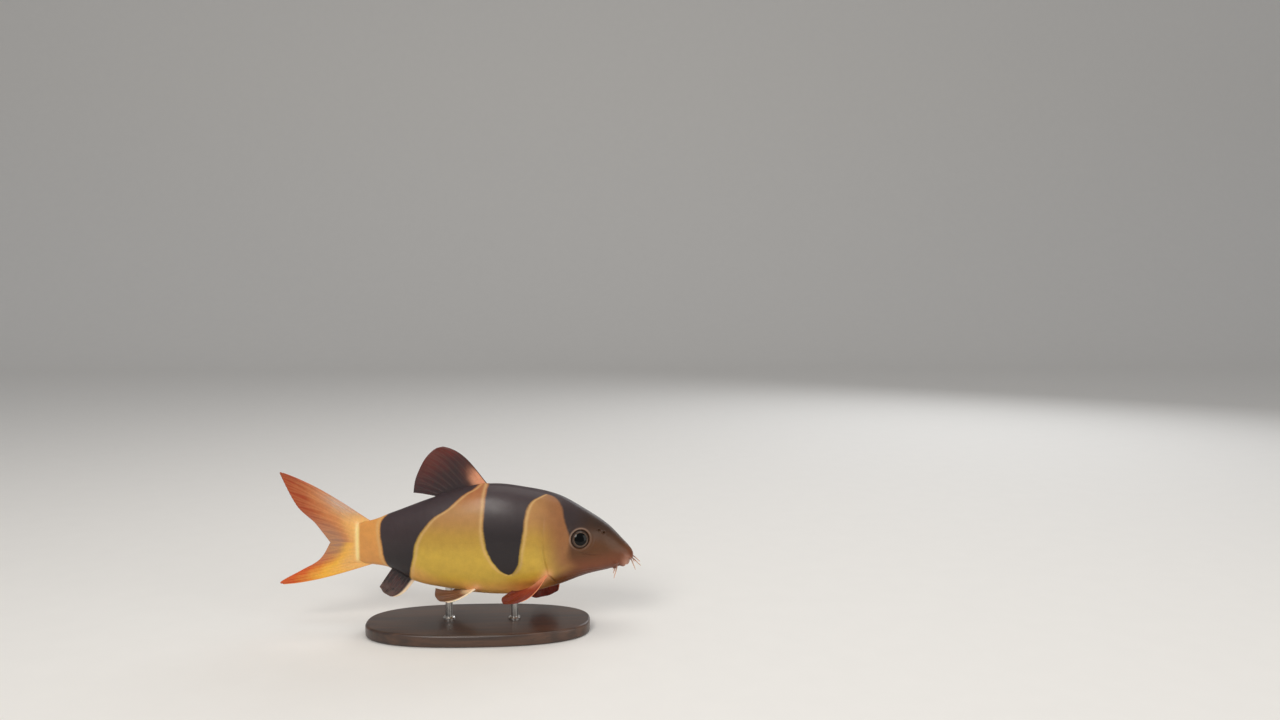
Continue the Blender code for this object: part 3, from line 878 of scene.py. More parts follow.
@dataclass
class Skin:
    """One continuous skin from the snout to the root of the tail fin."""

    form: Form
    rings: int = 210
    around: int = 160
    head_share: float = 0.62
    end: float = 141.8
    eye_radius: float = 4.75
    nostril_s: float = 16.0
    nostril_z: float = 5.6
    mouth_s: float = 6.0
    mouth_ahead: float = 2.2
    mouth_spread: float = 3.0
    gill_lift: float = 0.7
    roots: list[Root] = field(default_factory=list)
    lip_share: np.ndarray = field(init=False)
    foot_share: np.ndarray = field(init=False)

    def spot_on(self, s: float, z: float, side: Side) -> np.ndarray:
        """The spot on the flank at a place seen from the side."""
        return self.form.section(s, self.form.turn_at(s, z, side))

    def lay(self, around: np.ndarray, along: np.ndarray) -> tuple[np.ndarray, np.ndarray]:
        """Where the grid's places lie on the body.

        Args:
            around: shares of the way round it.
            along: shares of the way from snout to tail.

        Returns:
            How far back each is, and its turn from the back's ridge.
        """
        turn = math.tau * around
        gill = self.form.gill_line(turn)
        ahead = gill * np.clip(along / self.head_share, 0.0, 1.0) ** 1.35
        rest = np.clip((along - self.head_share) / (1 - self.head_share), 0.0, 1.0)
        return ahead + (self.end - gill) * rest**1.2, turn

    def off_eye(self, spots: np.ndarray) -> np.ndarray:
        """Distance outside the eye's edge, seen from the side."""
        return np.hypot(spots[..., 0] - self.form.eye_s, spots[..., 2] - self.form.eye_z) - self.eye_radius

    def off_cleft(self, spots: np.ndarray) -> tuple[np.ndarray, np.ndarray]:
        """The mouth's cleft, seen from below.

        Args:
            spots: spots on the plain body.

        Returns:
            Distance outside the cleft, and the angle from straight ahead.
        """
        ahead = (self.mouth_s - spots[..., 0]) / self.mouth_ahead
        over = spots[..., 1] / self.mouth_spread
        return (np.hypot(ahead, over) - 1) * 2.6, np.abs(np.arctan2(over, ahead))

    def groove_line(self, s: np.ndarray) -> np.ndarray:
        """Height of the groove below the eye."""
        below_eye = self.form.eye_z - self.eye_radius - 2.3
        return below_eye - 0.16 * (self.form.eye_s - s) + 0.014 * (s - 21.0) ** 2

    def nostrils(self) -> list[tuple[np.ndarray, np.ndarray]]:
        """The front and rear opening of each side."""
        return [(self.spot_on(self.nostril_s - 1.1, self.nostril_z - 0.7, side),
                 self.spot_on(self.nostril_s + 1.2, self.nostril_z + 0.6, side)) for side in Side]

    def gill(self, s: np.ndarray, turn: np.ndarray) -> np.ndarray:
        """The gill cover's soft swell, its free edge and the slit behind it.

        Args:
            s: how far back from the snout.
            turn: the turn from the back's ridge, without sign.

        Returns:
            How far the skin stands out.
        """
        ahead = self.form.gill_line(turn) - s
        flank = rise(0.75, 2.0, turn) * (1 - rise(2.25, 2.6, turn))
        swell = self.gill_lift * (1 - rise(0.0, 13.0, ahead)) * rise(-0.35, 0.9, ahead)
        slit = 0.3 * bump(ahead + 0.3, 0.4)
        shoulder = 0.15 * bump(ahead + 2.6, 1.7)
        preopercle = 0.12 * bump(ahead - 9.5 + 2.0 * np.cos(turn), 0.9) * (1 - rise(1.9, 2.2, turn))
        return flank * (swell - slit + shoulder - preopercle)

    def orbit(self, spots: np.ndarray, turn: np.ndarray) -> np.ndarray:
        """The socket that the eye sits in, the fold of skin round it and a low brow.

        Args:
            spots: spots on the plain body.
            turn: their turns, without sign.

        Returns:
            How far the skin stands out.
        """
        out = self.off_eye(spots)
        flank = rise(0.3, 0.6, turn) * (1 - rise(1.9, 2.2, turn))
        socket = 2.6 * (1 - rise(-0.95, -0.1, out))
        fold = 0.2 * bump(out - 0.3, 0.45)
        brow = 0.36 * bump(out - 1.3, 1.7) * (0.55 + 0.45 * rise(-3.0, 4.0, spots[..., 2] - self.form.eye_z))
        crease = 0.1 * bump(out - 2.6, 0.4) * rise(-1.0, 3.0, self.form.eye_z - spots[..., 2])
        return flank * (fold + brow - socket - crease)

    def spine_groove(self, spots: np.ndarray, turn: np.ndarray) -> np.ndarray:
        """The closed groove below the eye that hides the forked spine.

        Args:
            spots: spots on the plain body.
            turn: their turns, without sign.

        Returns:
            How far the skin stands out.
        """
        s = spots[..., 0]
        up = spots[..., 2] - self.groove_line(s)
        along = rise(15.0, 20.0, s) * (1 - rise(25.0, 29.0, s))
        flank = rise(0.9, 1.2, turn) * (1 - rise(2.4, 2.7, turn))
        lips = 0.22 * bump(up - 0.7, 0.6) - 0.42 * bump(up, 0.3) + 0.12 * bump(up + 0.8, 0.7)
        return along * flank * lips

    def nose(self, spots: np.ndarray) -> np.ndarray:
        """The front nostril with its raised rim, the flap behind it and the rear opening.

        Args:
            spots: spots on the plain body.

        Returns:
            How far the skin stands out.
        """
        total = np.zeros(spots.shape[:-1])
        for front, rear in self.nostrils():
            to_front = np.linalg.norm(spots - front, axis=-1)
            to_rear = np.linalg.norm((spots - rear) * (0.72, 1.0, 1.1), axis=-1)
            to_flap = np.linalg.norm(spots - (front * 0.5 + rear * 0.5), axis=-1)
            total += 0.22 * bump(to_front - 0.7, 0.4) - 0.9 * (1 - rise(0.1, 0.7, to_front))
            total += 0.05 * bump(to_rear - 0.9, 0.5) - 0.7 * (1 - rise(0.15, 0.8, to_rear))
            total += 0.3 * bump(to_flap, 0.4)
        return total

    def mouth(self, spots: np.ndarray, turn: np.ndarray) -> tuple[np.ndarray, np.ndarray]:
        """The cleft of the mouth between two fleshy lips.

        Args:
            spots: spots on the plain body.
            turn: their turns from the back's ridge, without sign.

        Returns:
            How far the skin stands out, and how much of each spot is lip.
        """
        out, angle = self.off_cleft(spots)
        out = out / (1 - 0.4 * rise(0.8, 1.9, angle))
        under = rise(1.3, 1.75, turn) * (1 - rise(1.15, 2.3, angle))
        crimp = 1 + 0.05 * np.sin(angle * 17) * rise(0.3, 0.9, np.abs(out))
        upper = rise(-0.05, 0.8, out) * (1 - rise(0.7, 3.2, out)) * crimp
        notch = 1 - 0.4 * bump(spots[..., 1], 0.55)
        lower = 0.95 * rise(-0.05, 0.75, -out) * (1 - rise(0.8, 2.1, -out)) * notch
        cleft = 0.75 * bump(out, 0.26)
        fold = 0.16 * bump(out - 2.7, 0.6) * (0.4 + 0.6 * rise(0.3, 1.0, angle))
        lip = rise(1.2, 2.1, turn) * (1 - rise(0.6, 2.2, angle))
        lip = lip * (1 - rise(0.6, 4.4, out)) * (1 - rise(1.2, 2.6, -out))
        return under * (upper + lower - cleft - fold), lip

    def throat(self, spots: np.ndarray, turn: np.ndarray) -> np.ndarray:
        """The folds of the gill membrane under the head.

        Args:
            spots: spots on the plain body.
            turn: their turns, without sign.

        Returns:
            How far the skin stands out.
        """
        s = spots[..., 0]
        along = rise(12.0, 18.0, s) * (1 - rise(33.0, 38.0, s))
        folds = sum(0.16 * bump(turn - centre + 0.012 * (s - 24.0), 0.035) for centre in (2.3, 2.47, 2.64))
        chin = 0.3 * bump(turn - math.pi, 0.12) * rise(9.0, 13.0, s) * (1 - rise(34.0, 44.0, s))
        return -along * folds - chin

    def relief(self, s: np.ndarray, turn: np.ndarray) -> tuple[np.ndarray, np.ndarray]:
        """All the small forms of the skin.

        Args:
            s: how far back from the snout.
            turn: the turn from the back's ridge.

        Returns:
            How far the skin stands out from the plain body, and how much of it is lip.
        """
        spots = self.form.section(s, turn)
        across = unsigned(turn)
        mouth, lip = self.mouth(spots, across)
        total = self.gill(s, across) + self.orbit(spots, across) + self.spine_groove(spots, across)
        total += self.nose(spots) + mouth + self.throat(spots, across)
        total -= 0.16 * rise(139.3, 140.4, s) + 0.95 * rise(139.6, 141.8, s)
        total -= 1.6 * rise(134.5, 141.0, s) * np.cos(turn) ** 8
        dorsal = rise(71.0, 75.0, s) * (1 - rise(97.0, 100.0, s))
        anal = rise(108.0, 111.0, s) * (1 - rise(121.0, 123.5, s))
        total += 0.5 * dorsal * bump(spots[..., 1], 1.5) * (across < 1.5)
        total += 0.5 * anal * bump(spots[..., 1], 1.4) * (across > 1.5)
        return total * rise(0.3, 1.5, s), lip

    def detail(self, around: np.ndarray, along: np.ndarray) -> np.ndarray:
        """How finely the grid is divided.

        Args:
            around: shares of the way round it.
            along: shares of the way along it.

        Returns:
            How many times it is divided at each of its places.
        """
        s, turn = self.lay(around, along)
        spots = self.form.section(s, turn)
        across = unsigned(turn)
        eye = np.where((across > 0.35) & (across < 2.2), np.abs(self.off_eye(spots)), FAR)
        cleft = np.where(across > 1.4, np.abs(self.off_cleft(spots)[0]), FAR)
        edge = np.where((across > 0.7) & (across < 2.7), np.abs(self.form.gill_line(turn) - s - 0.1), FAR)
        up = np.abs(spots[:, 2] - self.groove_line(s))
        groove = np.where((across > 0.9) & (across < 2.7) & (s > 14.5) & (s < 29.5), up, FAR)
        openings = [spot for pair in self.nostrils() for spot in pair]
        nose = np.min([np.linalg.norm(spots - spot, axis=-1) for spot in openings], axis=0)
        root = np.min([root.away(spots) - root.width * 1.7 for root in self.roots], axis=0)
        fine = (eye < 2.6) | (cleft < 4.2) | (edge < 1.5) | (groove < 1.7) | (nose < 2.6) | (root < 0.0)
        finest = (eye < 1.0) | (cleft < 2.9) | (nose < 1.5)
        return fine.astype(int) + finest.astype(int)

    def refine(self, made: bpy.types.Object) -> None:
        """Divides the flat grid's faces where the head carries small forms.

        Args:
            made: the grid.
        """
        take(made)
        for level in (1, 2):
            faces = made.data.polygons
            centres = np.empty(len(faces) * 3, np.float32)
            faces.foreach_get("center", centres)
            centres = centres.reshape(-1, 3).astype(float)
            wanted = self.detail(centres[:, 0], centres[:, 1]) >= level
            bpy.ops.object.mode_set(mode="EDIT")
            bpy.ops.mesh.select_mode(type="FACE")
            bpy.ops.mesh.select_all(action="DESELECT")
            bpy.ops.object.mode_set(mode="OBJECT")
            faces.foreach_set("select", wanted)
            bpy.ops.object.mode_set(mode="EDIT")
            bpy.ops.mesh.subdivide(number_cuts=1)
            bpy.ops.object.mode_set(mode="OBJECT")

    def shape(self, around: np.ndarray, along: np.ndarray) -> np.ndarray:
        """Shapes the skin, and keeps how much of each point is lip or the foot of a fin.

        Args:
            around: shares of the way round it.
            along: shares of the way along it.

        Returns:
            World places of its points.
        """
        s, turn = self.lay(around, along)
        lift, self.lip_share = self.relief(s, turn)
        plain = self.form.section(s, turn)
        self.foot_share = np.max([bump(root.away(plain), 2.4) * root.blush for root in self.roots], axis=0)
        spots = plain + self.form.outward(s, turn) * lift[:, None]
        spots = spots + sum(root.pull(plain) for root in self.roots)
        spots[(along > 1 - TINY) | (spots[:, 1] * plain[:, 1] < 0), 1] = 0.0
        spots[along < TINY] = (0.0, 0.0, float(self.form.top(np.array(0.0))))
        return self.form.place(spots)

    def build(self) -> bpy.types.Object:
        """Makes the skin and dresses it.

        Returns:
            The skin.
        """
        made = grid("skin", self.around, self.rings)
        self.refine(made)
        mould(made, self.shape)
        for word, shares in (("lip", self.lip_share), ("foot", self.foot_share)):
            given = made.data.attributes.new(word, "FLOAT", "POINT")
            given.data.foreach_set("value", shares.astype(np.float32))
        close(made)
        made.data.materials.append(SkinFinish(self.form).material())
        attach(made, "root")
        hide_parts("head", "trunk", "tail")
        return made


@dataclass(frozen=True)
class EyeFinish:
    """A black pupil in a dark iris with a thin gilt ring."""

    pupil_radius: float = 3.15
    ring_width: float = 0.13
    pupil: Colour = tone(3, 3, 3)
    ring: Colour = tone(112, 88, 68)
    iris: Colour = tone(76, 62, 54)
    rim: Colour = tone(60, 46, 40)

    def material(self, form: Form, centre: np.ndarray, normal: np.ndarray) -> bpy.types.Material:
        """Builds the finish of one eye.

        Args:
            form: the body's form.
            centre: the eye's centre, as s, lateral and z.
            normal: its axis.

        Returns:
            The material.
        """
        graph = Graph("eye_surface")
        middle = form.place(centre)
        way = unit(form.place(centre + normal) - middle)
        offset = graph.vector("SUBTRACT", graph.places(), tuple(middle)).outputs[0]
        depth = Value(graph, graph.vector("DOT_PRODUCT", offset, tuple(way)).outputs["Value"])
        reach = Value(graph, graph.vector("LENGTH", offset).outputs["Value"])
        radius = graph.maths("SQRT", graph.highest(reach * reach - depth * depth, 0.0)) * PER_METRE
        grain = graph.noise(graph.places(), 1500.0, 3.0)
        colour = graph.mix(self.iris, self.rim, graph.rise(self.pupil_radius + 0.2, 4.5, radius))
        _, _, up = graph.split(graph.places())
        above = graph.rise(-3.0, 4.0, (up - float(middle[2])) * PER_METRE)
        colour = graph.shade(colour, grain * 0.9 + 0.7 - above * 0.35)
        ring = graph.bell(radius - self.pupil_radius - self.ring_width, self.ring_width)
        colour = graph.mix(colour, self.ring, ring * (grain * 0.6 + 0.4))
        inside = 1.0 - graph.rise(self.pupil_radius - 0.12, self.pupil_radius + 0.1, radius)
        colour = graph.mix(colour, self.pupil, inside)
        return graph.finish(Base_Color=colour, Roughness=0.06 + grain * 0.03, IOR=1.3)


@dataclass
class Eye:
    """A round eye that bulges a little from its socket."""

    form: Form
    side: Side
    radius: float = 4.7
    depth: float = 3.4
    sink: float = 2.1
    fullness: float = 2.6

    def build(self) -> bpy.types.Object:
        """Makes the eye in its socket.

        Returns:
            The eye.
        """
        turn = self.form.turn_at(self.form.eye_s, self.form.eye_z, self.side)
        normal = self.form.outward(self.form.eye_s, turn)
        centre = self.form.section(self.form.eye_s, turn) - normal * self.sink
        axis = Vector(normal)
        matrix = np.array(Vector((0, 0, 1)).rotation_difference(axis).to_matrix())
        alone()
        bpy.ops.mesh.primitive_uv_sphere_add(segments=96, ring_count=64, radius=1.0)
        made = bpy.context.object
        made.name = made.data.name = "eyeball_" + self.side.word
        flat = points_of(made.data)
        edge, high = np.hypot(flat[:, 0], flat[:, 1])[:, None], np.abs(flat[:, 2:])
        flat /= (edge**self.fullness + high**self.fullness) ** (1 / self.fullness)
        local = flat * np.array((self.radius, self.radius, self.depth))
        move_points(made.data, self.form.place(centre + local @ matrix.T))
        close(made)
        bpy.ops.object.shade_smooth()
        made.data.materials.append(EyeFinish().material(self.form, centre, normal))
        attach(made, "root")
        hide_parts("eye_" + self.side.word)
        return made


@dataclass(frozen=True)
class BarbelFinish:
    """Soft flesh, greyer at the root and paler towards the tip."""

    flesh: Colour = tone(108, 62, 42)
    tip: Colour = tone(206, 164, 136)

    def material(self) -> bpy.types.Material:
        """Builds the barbels' material.

        Returns:
            The material.
        """
        graph = Graph("barbel_flesh")
        _, along, _ = graph.split(graph.own_map())
        grain = graph.noise(graph.places(), 1800.0, 2.0)
        colour = graph.mix(self.flesh, self.tip, graph.rise(0.1, 0.85, along))
        colour = graph.shade(colour, grain * 0.35 + 0.82)
        rings = graph.maths("SINE", along * 240.0 + grain * 6.0) * 0.08 + grain
        return graph.finish(
            Base_Color=colour, Roughness=0.4, Normal=graph.relief(rings, 0.00003), Coat_Weight=0.3,
            Coat_Roughness=0.2, Subsurface_Weight=0.15, Subsurface_Scale=0.002,
        )


@dataclass
class Barbel:
    """One tapered barbel that grows out of the skin."""

    form: Form
    kind: str
    side: Side
    root_s: float
    root_degrees: float
    way: Spot
    length: float
    radius: float = 0.46
    tip_radius: float = 0.15
    flare: float = 0.28
    sunk: float = 0.8
    steps: int = 60

    def root(self) -> np.ndarray:
        """The spot on the plain body that the barbel grows from."""
        return self.form.section(self.root_s, self.side.value * math.radians(self.root_degrees))

    def foot(self) -> Root:
        """The low cone of skin that the barbel grows from."""
        spots = self.path(self.steps + 1)
        return Root(self.root(), self.root(), unit(spots[self.steps // 4] - spots[0]) * 0.85, 0.95)

    def path(self, count: int) -> np.ndarray:
        """The barbel's middle line.

        Args:
            count: how many spots it has.

        Returns:
            Evenly spaced spots from inside the skin to the tip.
        """
        turn = self.side.value * math.radians(self.root_degrees)
        normal = self.form.outward(self.root_s, turn)
        aim = unit(np.array((self.way[0], self.way[1] * self.side.value, self.way[2])))
        spots = [self.root() - normal * self.sunk]
        step = (self.length + self.sunk) / (count - 1)
        for i in range(1, count):
            share = max(i * step - self.sunk, 0.0) / self.length
            ahead = unit(normal + (aim - normal) * rise(-0.15, 0.55, np.array(share)))
            spots.append(spots[-1] + ahead * step)
        return np.array(spots)

    def build(self, finish: bpy.types.Material) -> bpy.types.Object:
        """Makes the barbel.

        Args:
            finish: its material.

        Returns:
            The barbel.
        """
        path = self.path(self.steps + 1)
        ahead = unit(np.gradient(path, axis=0))
        side = unit(np.cross(ahead, np.array((0.3, 0.1, 1.0))))
        other = np.cross(ahead, side)

        def shape(around: np.ndarray, along: np.ndarray) -> np.ndarray:
            """Shapes the barbel.

            Args:
                around: shares of the way round it.
                along: shares of the way along it.

            Returns:
                World places of its points.
            """
            i = np.rint(along * self.steps).astype(int)
            share = np.clip(along, 0.0, 1.0)
            taper = self.radius + (self.tip_radius - self.radius) * share**0.75
            flare = self.flare * (1 - rise(0.04, 0.2, share))
            rounding = np.sqrt(np.clip(1 - np.clip((share - 0.95) / 0.05, 0, 1) ** 2, 0, 1))
            closed = np.where(share < TINY, 0.0, rounding)
            radius = ((taper + flare) * closed)[:, None]
            angle = (math.tau * around)[:, None]
            return self.form.place(path[i] + (side[i] * np.cos(angle) + other[i] * np.sin(angle)) * radius)

        name = f"{self.kind}_{self.side.word}"
        made = rolled("barbel_flesh_" + name, 18, self.steps, shape)
        made.data.materials.append(finish)
        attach(made, "root")
        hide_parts("barbel_" + name)
        return made


@dataclass(frozen=True)
class FinFinish:
    """A membrane between soft branched rays, coloured from its root to its free margin."""

    name: str
    root: Colour
    middle: Colour
    margin: Colour
    lead: Colour
    ray: Colour
    lead_width: float = 0.05
    ray_share: float = 0.2
    web_alpha: float = 0.85
    margin_alpha: float = 0.75
    spots: Colour | None = None
    patch: Colour | None = None
    patch_at: tuple[float, float] = (0.1, 0.02)
    patch_reach: tuple[float, float] = (0.3, 0.4)
    patch_far: Colour | None = None
    inner: Colour | None = None
    inner_alpha: float = 1.0
    haze: Colour | None = None
    haze_alpha: float = 1.0
    # Painted highlight: a pale line across the fin at the end of the body, its place along the body and the
    # height of its middle
    line: Colour | None = None
    root_highlight_at: float = 0.0
    root_highlight_height: float = 0.0

    def colour(self, graph: Graph, across: Value, along: Value, ray: Value) -> bpy.types.NodeSocket:
        """The fin's colour.

        Args:
            graph: the material's nodes.
            across: the share of the way across its rays.
            along: the share of the way along them.
            ray: how much of a spot is ray.

        Returns:
            The colour.
        """
        place = graph.places()
        cloud = graph.noise(place, 160.0, 3.0) - 0.5
        colour = graph.mix(self.root, self.middle, graph.rise(0.12, 0.5, along + cloud * 0.3))
        colour = graph.mix(colour, self.margin, graph.rise(0.42, 0.95, along + cloud * 0.25))
        if self.inner:
            inner = graph.rise(0.45, 0.98, across + cloud * 0.1) * graph.rise(0.26, 0.72, along)
            colour = graph.mix(colour, self.inner, inner)
        if self.spots:
            blot = graph.rise(0.5, 0.64, graph.noise(place, 380.0, 2.0))
            colour = graph.mix(colour, self.spots, blot * 0.7)
        colour = graph.mix(colour, self.ray, ray * self.ray_share)
        if self.patch:
            over = (across - self.patch_at[0]) / self.patch_reach[0]
            up = (along - self.patch_at[1]) / self.patch_reach[1]
            away = graph.reach(over, up) + cloud * 0.3
            patch = graph.mix(self.patch, self.patch_far, graph.rise(0.35, 1.0, away))
            colour = graph.mix(colour, patch, 1.0 - graph.rise(0.5, 1.35, away))
        if self.haze:
            colour = graph.mix(colour, self.haze, self.hazed(graph, across, along) * 0.85)
        # Painted highlight line across the root of the tail fin
        if self.line:
            x, _, z = graph.split(place)
            ends = root_highlight_share(graph, z * PER_METRE - self.root_highlight_height)
            colour = graph.mix(colour, self.line, graph.bell(x * PER_METRE - self.root_highlight_at, 1.0) * ends * 0.95)
        return graph.shade(colour, graph.noise(place, 900.0, 2.0) * 0.3 + 0.85)

    def hazed(self, graph: Graph, across: Value, along: Value) -> Value:
        """How much of a spot lies in the clear outer part near the root."""
        return graph.bell(along - 0.32, 0.22) * (1.0 - graph.rise(0.15, 0.5, across))

    def material(self) -> bpy.types.Material:
        """Builds the fin's material.

        Returns:
            The material.
        """
        graph = Graph(self.name)
        across, along, _ = graph.split(graph.own_map())
        ray = graph.attribute("ray")
        lead = 1.0 - graph.rise(self.lead_width * 0.5, self.lead_width, across)
        colour = graph.mix(self.colour(graph, across, along, ray), self.lead, lead)
        web = graph.rise(0.2, 1.0, along) * (self.margin_alpha - self.web_alpha) + self.web_alpha
        inside = graph.rise(0.55, 1.0, across) * graph.rise(0.3, 0.8, along)
        web = web * (1.0 - inside * (1.0 - self.inner_alpha))
        if self.haze:
            web = web * (1.0 - self.hazed(graph, across, along) * (1.0 - self.haze_alpha))
        solid = graph.highest(graph.highest(ray * 0.7, lead), 1.0 - graph.rise(0.02, 0.2, along))
        joints = graph.maths("SINE", along * 300.0) * ray * graph.rise(0.3, 0.6, along)
        grain = graph.relief(joints * 0.12 + graph.noise(graph.places(), 2200.0, 2.0) * 0.6, 0.00005)
        return graph.finish(
            Base_Color=colour, Alpha=web + (1.0 - web) * solid, Roughness=0.46, Normal=grain,
            Coat_Weight=0.12, Coat_Roughness=0.25, Subsurface_Weight=0.1, Subsurface_Scale=0.002, IOR=1.38,
        )


@dataclass
class Fin:
    """A fin of soft rays: its first rays are plain, and the others branch twice towards the margin."""

    form: Form
    name: str
    node: str
    slot: str
    finish: FinFinish
    root: np.ndarray
    margin: list[Spot]
    bows: tuple[Spot, Spot]
    rays: int
    flesh: float = 0.4
    from_body: bool = False
    inward: tuple[Spot, Spot] = ((0.0, 0.0, -1.0), (0.0, 0.0, -1.0))
    plain_rays: int = 2
    columns_a_ray: int = 20
    rows: int = 60
    sunk: float = 1.4
    web: float = 0.11
    ray_height: float = 0.2
    lead_height: float = 0.42
    ripple: float = 0.22
    scallop: float = 0.004
    first_split: float = 0.3
    second_split: float = 0.62
    thickest: float = 2.0
    weld: float = 0.0001
    lobe: float = 0.75
    lobe_width: float = 1.8
    ray_share: np.ndarray = field(init=False)
    half: np.ndarray = field(init=False)

    @staticmethod
    def along(points: np.ndarray, share: np.ndarray) -> np.ndarray:
        """A smooth curve through points that share it evenly.

        Args:
            points: the points.
            share: shares of the way along it.

        Returns:
            The places there.
        """
        points = np.asarray(points, float)
        last = len(points) - 1
        i = np.clip(np.floor(share * last).astype(int), 0, last - 1)
        t = (share * last - i)[..., None]
        p0, p1, p2, p3 = (points[np.clip(i + k, 0, last)] for k in (-1, 0, 1, 2))
        bend = (2 * p0 - 5 * p1 + 4 * p2 - p3) * t**2 + (3 * p1 - p0 - 3 * p2 + p3) * t**3
        return 0.5 * (2 * p1 + (p2 - p0) * t + bend)

    def spot(self, u: np.ndarray, v: np.ndarray) -> np.ndarray:
        """Spots of the fin's middle surface, u along the rays and v across them.

        Args:
            u: 0 at the skin and 1 at the free margin; below 0 the fin runs on into the flesh.
            v: 0 at the leading edge and 1 at the last ray.

        Returns:
            The spots.
        """
        low, high = self.along(self.root, v), self.along(self.margin, v)
        out, v = np.maximum(u, 0.0)[..., None], v[..., None]
        bow = np.array(self.bows[0]) * (1 - v) + np.array(self.bows[1]) * v
        inward = unit(np.array(self.inward[0]) * (1 - v) + np.array(self.inward[1]) * v)
        depth = np.linalg.norm(high - low, axis=-1, keepdims=True) * np.minimum(u, 0.0)[..., None]
        return low + (high - low) * out + bow * 4 * out * (1 - out) * (0.5 + out) - inward * depth

    def foot(self) -> Root:
        """The fleshy lobe of skin that a paired fin grows from.

        Returns:
            How the skin swells there.
        """
        root = np.asarray(self.root)
        way = unit(np.mean(self.margin, axis=0) - root.mean(axis=0))
        outward = -unit(np.mean(self.inward, axis=0) + way * 0.6)
        return Root(root[0], root[-1], (way + outward) * self.lobe, self.lobe_width, 1.0)

    def rays_at(self, u: np.ndarray, v: np.ndarray) -> np.ndarray:
        """The pattern of the rays: each splits in two, and each half in two again.

        Args:
            u: the share of the way to the margin.
            v: the share of the way across the rays.

        Returns:
            How much of each spot is ray.
        """
        position = v * (self.rays - 1)
        nearest = np.rint(position)
        offset = np.abs(position - nearest)
        splits = nearest >= self.plain_rays
        first = 0.25 * np.clip((u - self.first_split) / (1 - self.first_split), 0, 1) * splits
        second = 0.125 * np.clip((u - self.second_split) / (1 - self.second_split), 0, 1) * splits
        away = np.abs(np.abs(offset - first) - second)
        return bump(away, 0.18 - 0.1 * np.clip(u, 0, 1))

    def half_thickness(self, spots: np.ndarray, u: np.ndarray, v: np.ndarray, ray: np.ndarray) -> np.ndarray:
        """The fin's thickness, with its rays, its fleshy foot and the body inside it.

        Args:
            spots: spots of its middle surface.
            u: their shares of the way to the margin.
            v: their shares of the way across the rays.
            ray: how much of each is ray.

        Returns:
            Half the thickness.
        """
        position = v * (self.rays - 1)
        lead = self.ray_height + (self.lead_height - self.ray_height) * (1 - rise(0.3, 1.2, position))
        middle = 0.35 + 0.65 * np.sin(np.pi * np.clip(v, 0, 1)) ** 0.7
        flesh = self.flesh * (1 - rise(-0.04, 0.3, u)) * middle
        ray = ray * rise(0.01, 0.22, u)
        from_lead = np.clip(position / 0.45, 0, 1)
        rounding = np.sqrt(np.clip(1 - (1 - from_lead) ** 2, 0.03, 1))
        thin = (self.web + flesh + lead * ray * (1 - 0.75 * np.clip(u, 0, 1))) * rounding
        if not self.from_body:
            return thin
        s, z = spots[..., 0], spots[..., 2]
        body = np.maximum(self.form.half_at(s, z) - 0.35 + 0.45 * rise(136.5, 140.5, s), 0.0)
        return np.cbrt(thin**3 + body**3)

    def shape(self, across: np.ndarray, along: np.ndarray) -> np.ndarray:
        """Shapes the fin's middle surface, and keeps its rays and its thickness.

        Args:
            across: shares of the way across the rays.
            along: shares of the way from inside the skin to the margin.

        Returns:
            World places of its points.
        """
        length = np.linalg.norm(self.along(self.margin, across) - self.along(self.root, across), axis=-1)
        start = -self.sunk / length
        ray = self.rays_at(np.ones_like(across), across)
        reach = 1 - self.scallop * (1 - ray) * rise(0.08, 0.25, across)
        u = start + (reach - start) * along
        flat = self.spot(u, across)
        step = 0.01
        out = np.maximum(u, step)
        up = self.spot(out + step, across) - self.spot(out - step, across)
        over = self.spot(out, np.minimum(across + step, 1.0)) - self.spot(out, np.maximum(across - step, 0.0))
        normal = unit(np.cross(up, over))
        wave = self.ripple * np.sin(across * 17 + u * 3) * rise(0.2, 1.0, u) * (1 - rise(0.8, 1.0, across))
        rays = self.rays_at(u, across)
        self.ray_share = rays * rise(0.02, 0.2, u)
        self.half = self.half_thickness(flat, u, across, rays)
        return self.form.place(flat + normal * wave[:, None])

    def sheet(self) -> bpy.types.Object:
        """Makes the fin's middle surface, which carries its rays and its thickness.

        Returns:
            The open surface.
        """
        made = grid(self.name, self.columns_a_ray * (self.rays - 1), self.rows)
        mould(made, self.shape)
        ray = made.data.attributes.new("ray", "FLOAT", "POINT")
        ray.data.foreach_set("value", self.ray_share.astype(np.float32))
        group = made.vertex_groups.new(name="thickness")
        for index, share in enumerate(self.half / self.thickest):
            group.add([index], float(share), "REPLACE")
        made.data.materials.append(self.finish.material())
        return made

    def build(self) -> bpy.types.Object:
        """Makes the whole fin.

        Returns:
            The fin.
        """
        made = self.sheet()
        self.thicken(made)
        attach(made, "root")
        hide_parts(self.node)
        return made

    def thicken(self, made: bpy.types.Object) -> None:
        """Turns a middle surface into a closed skin over its rays.

        Args:
            made: the surface.
        """
        wall = made.modifiers.new("wall", "SOLIDIFY")
        wall.thickness = 2 * self.thickest * MM
        wall.offset = 0.0
        wall.vertex_group = "thickness"
        wall.thickness_vertex_group = 0.0
        apply_all(made)
        made.vertex_groups.clear()
        close(made, self.weld * MM)


@dataclass
class TailFin:
    """The tail fin: two lobes that meet in one skin behind the end of the body."""

    upper: Fin
    lower: Fin
    seam: float = 0.02

    def build(self) -> bpy.types.Object:
        """Makes both lobes and joins them along the middle of the fork.

        Returns:
            The tail fin.
        """
        lower, made = self.lower.sheet(), self.upper.sheet()
        alone()
        lower.select_set(True)
        made.select_set(True)
        bpy.context.view_layer.objects.active = made
        bpy.ops.object.join()
        made.name = made.data.name = "tail_rays"
        close(made, self.seam * MM)
        self.upper.thicken(made)
        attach(made, "root")
        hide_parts(self.upper.node, self.lower.node)
        return made


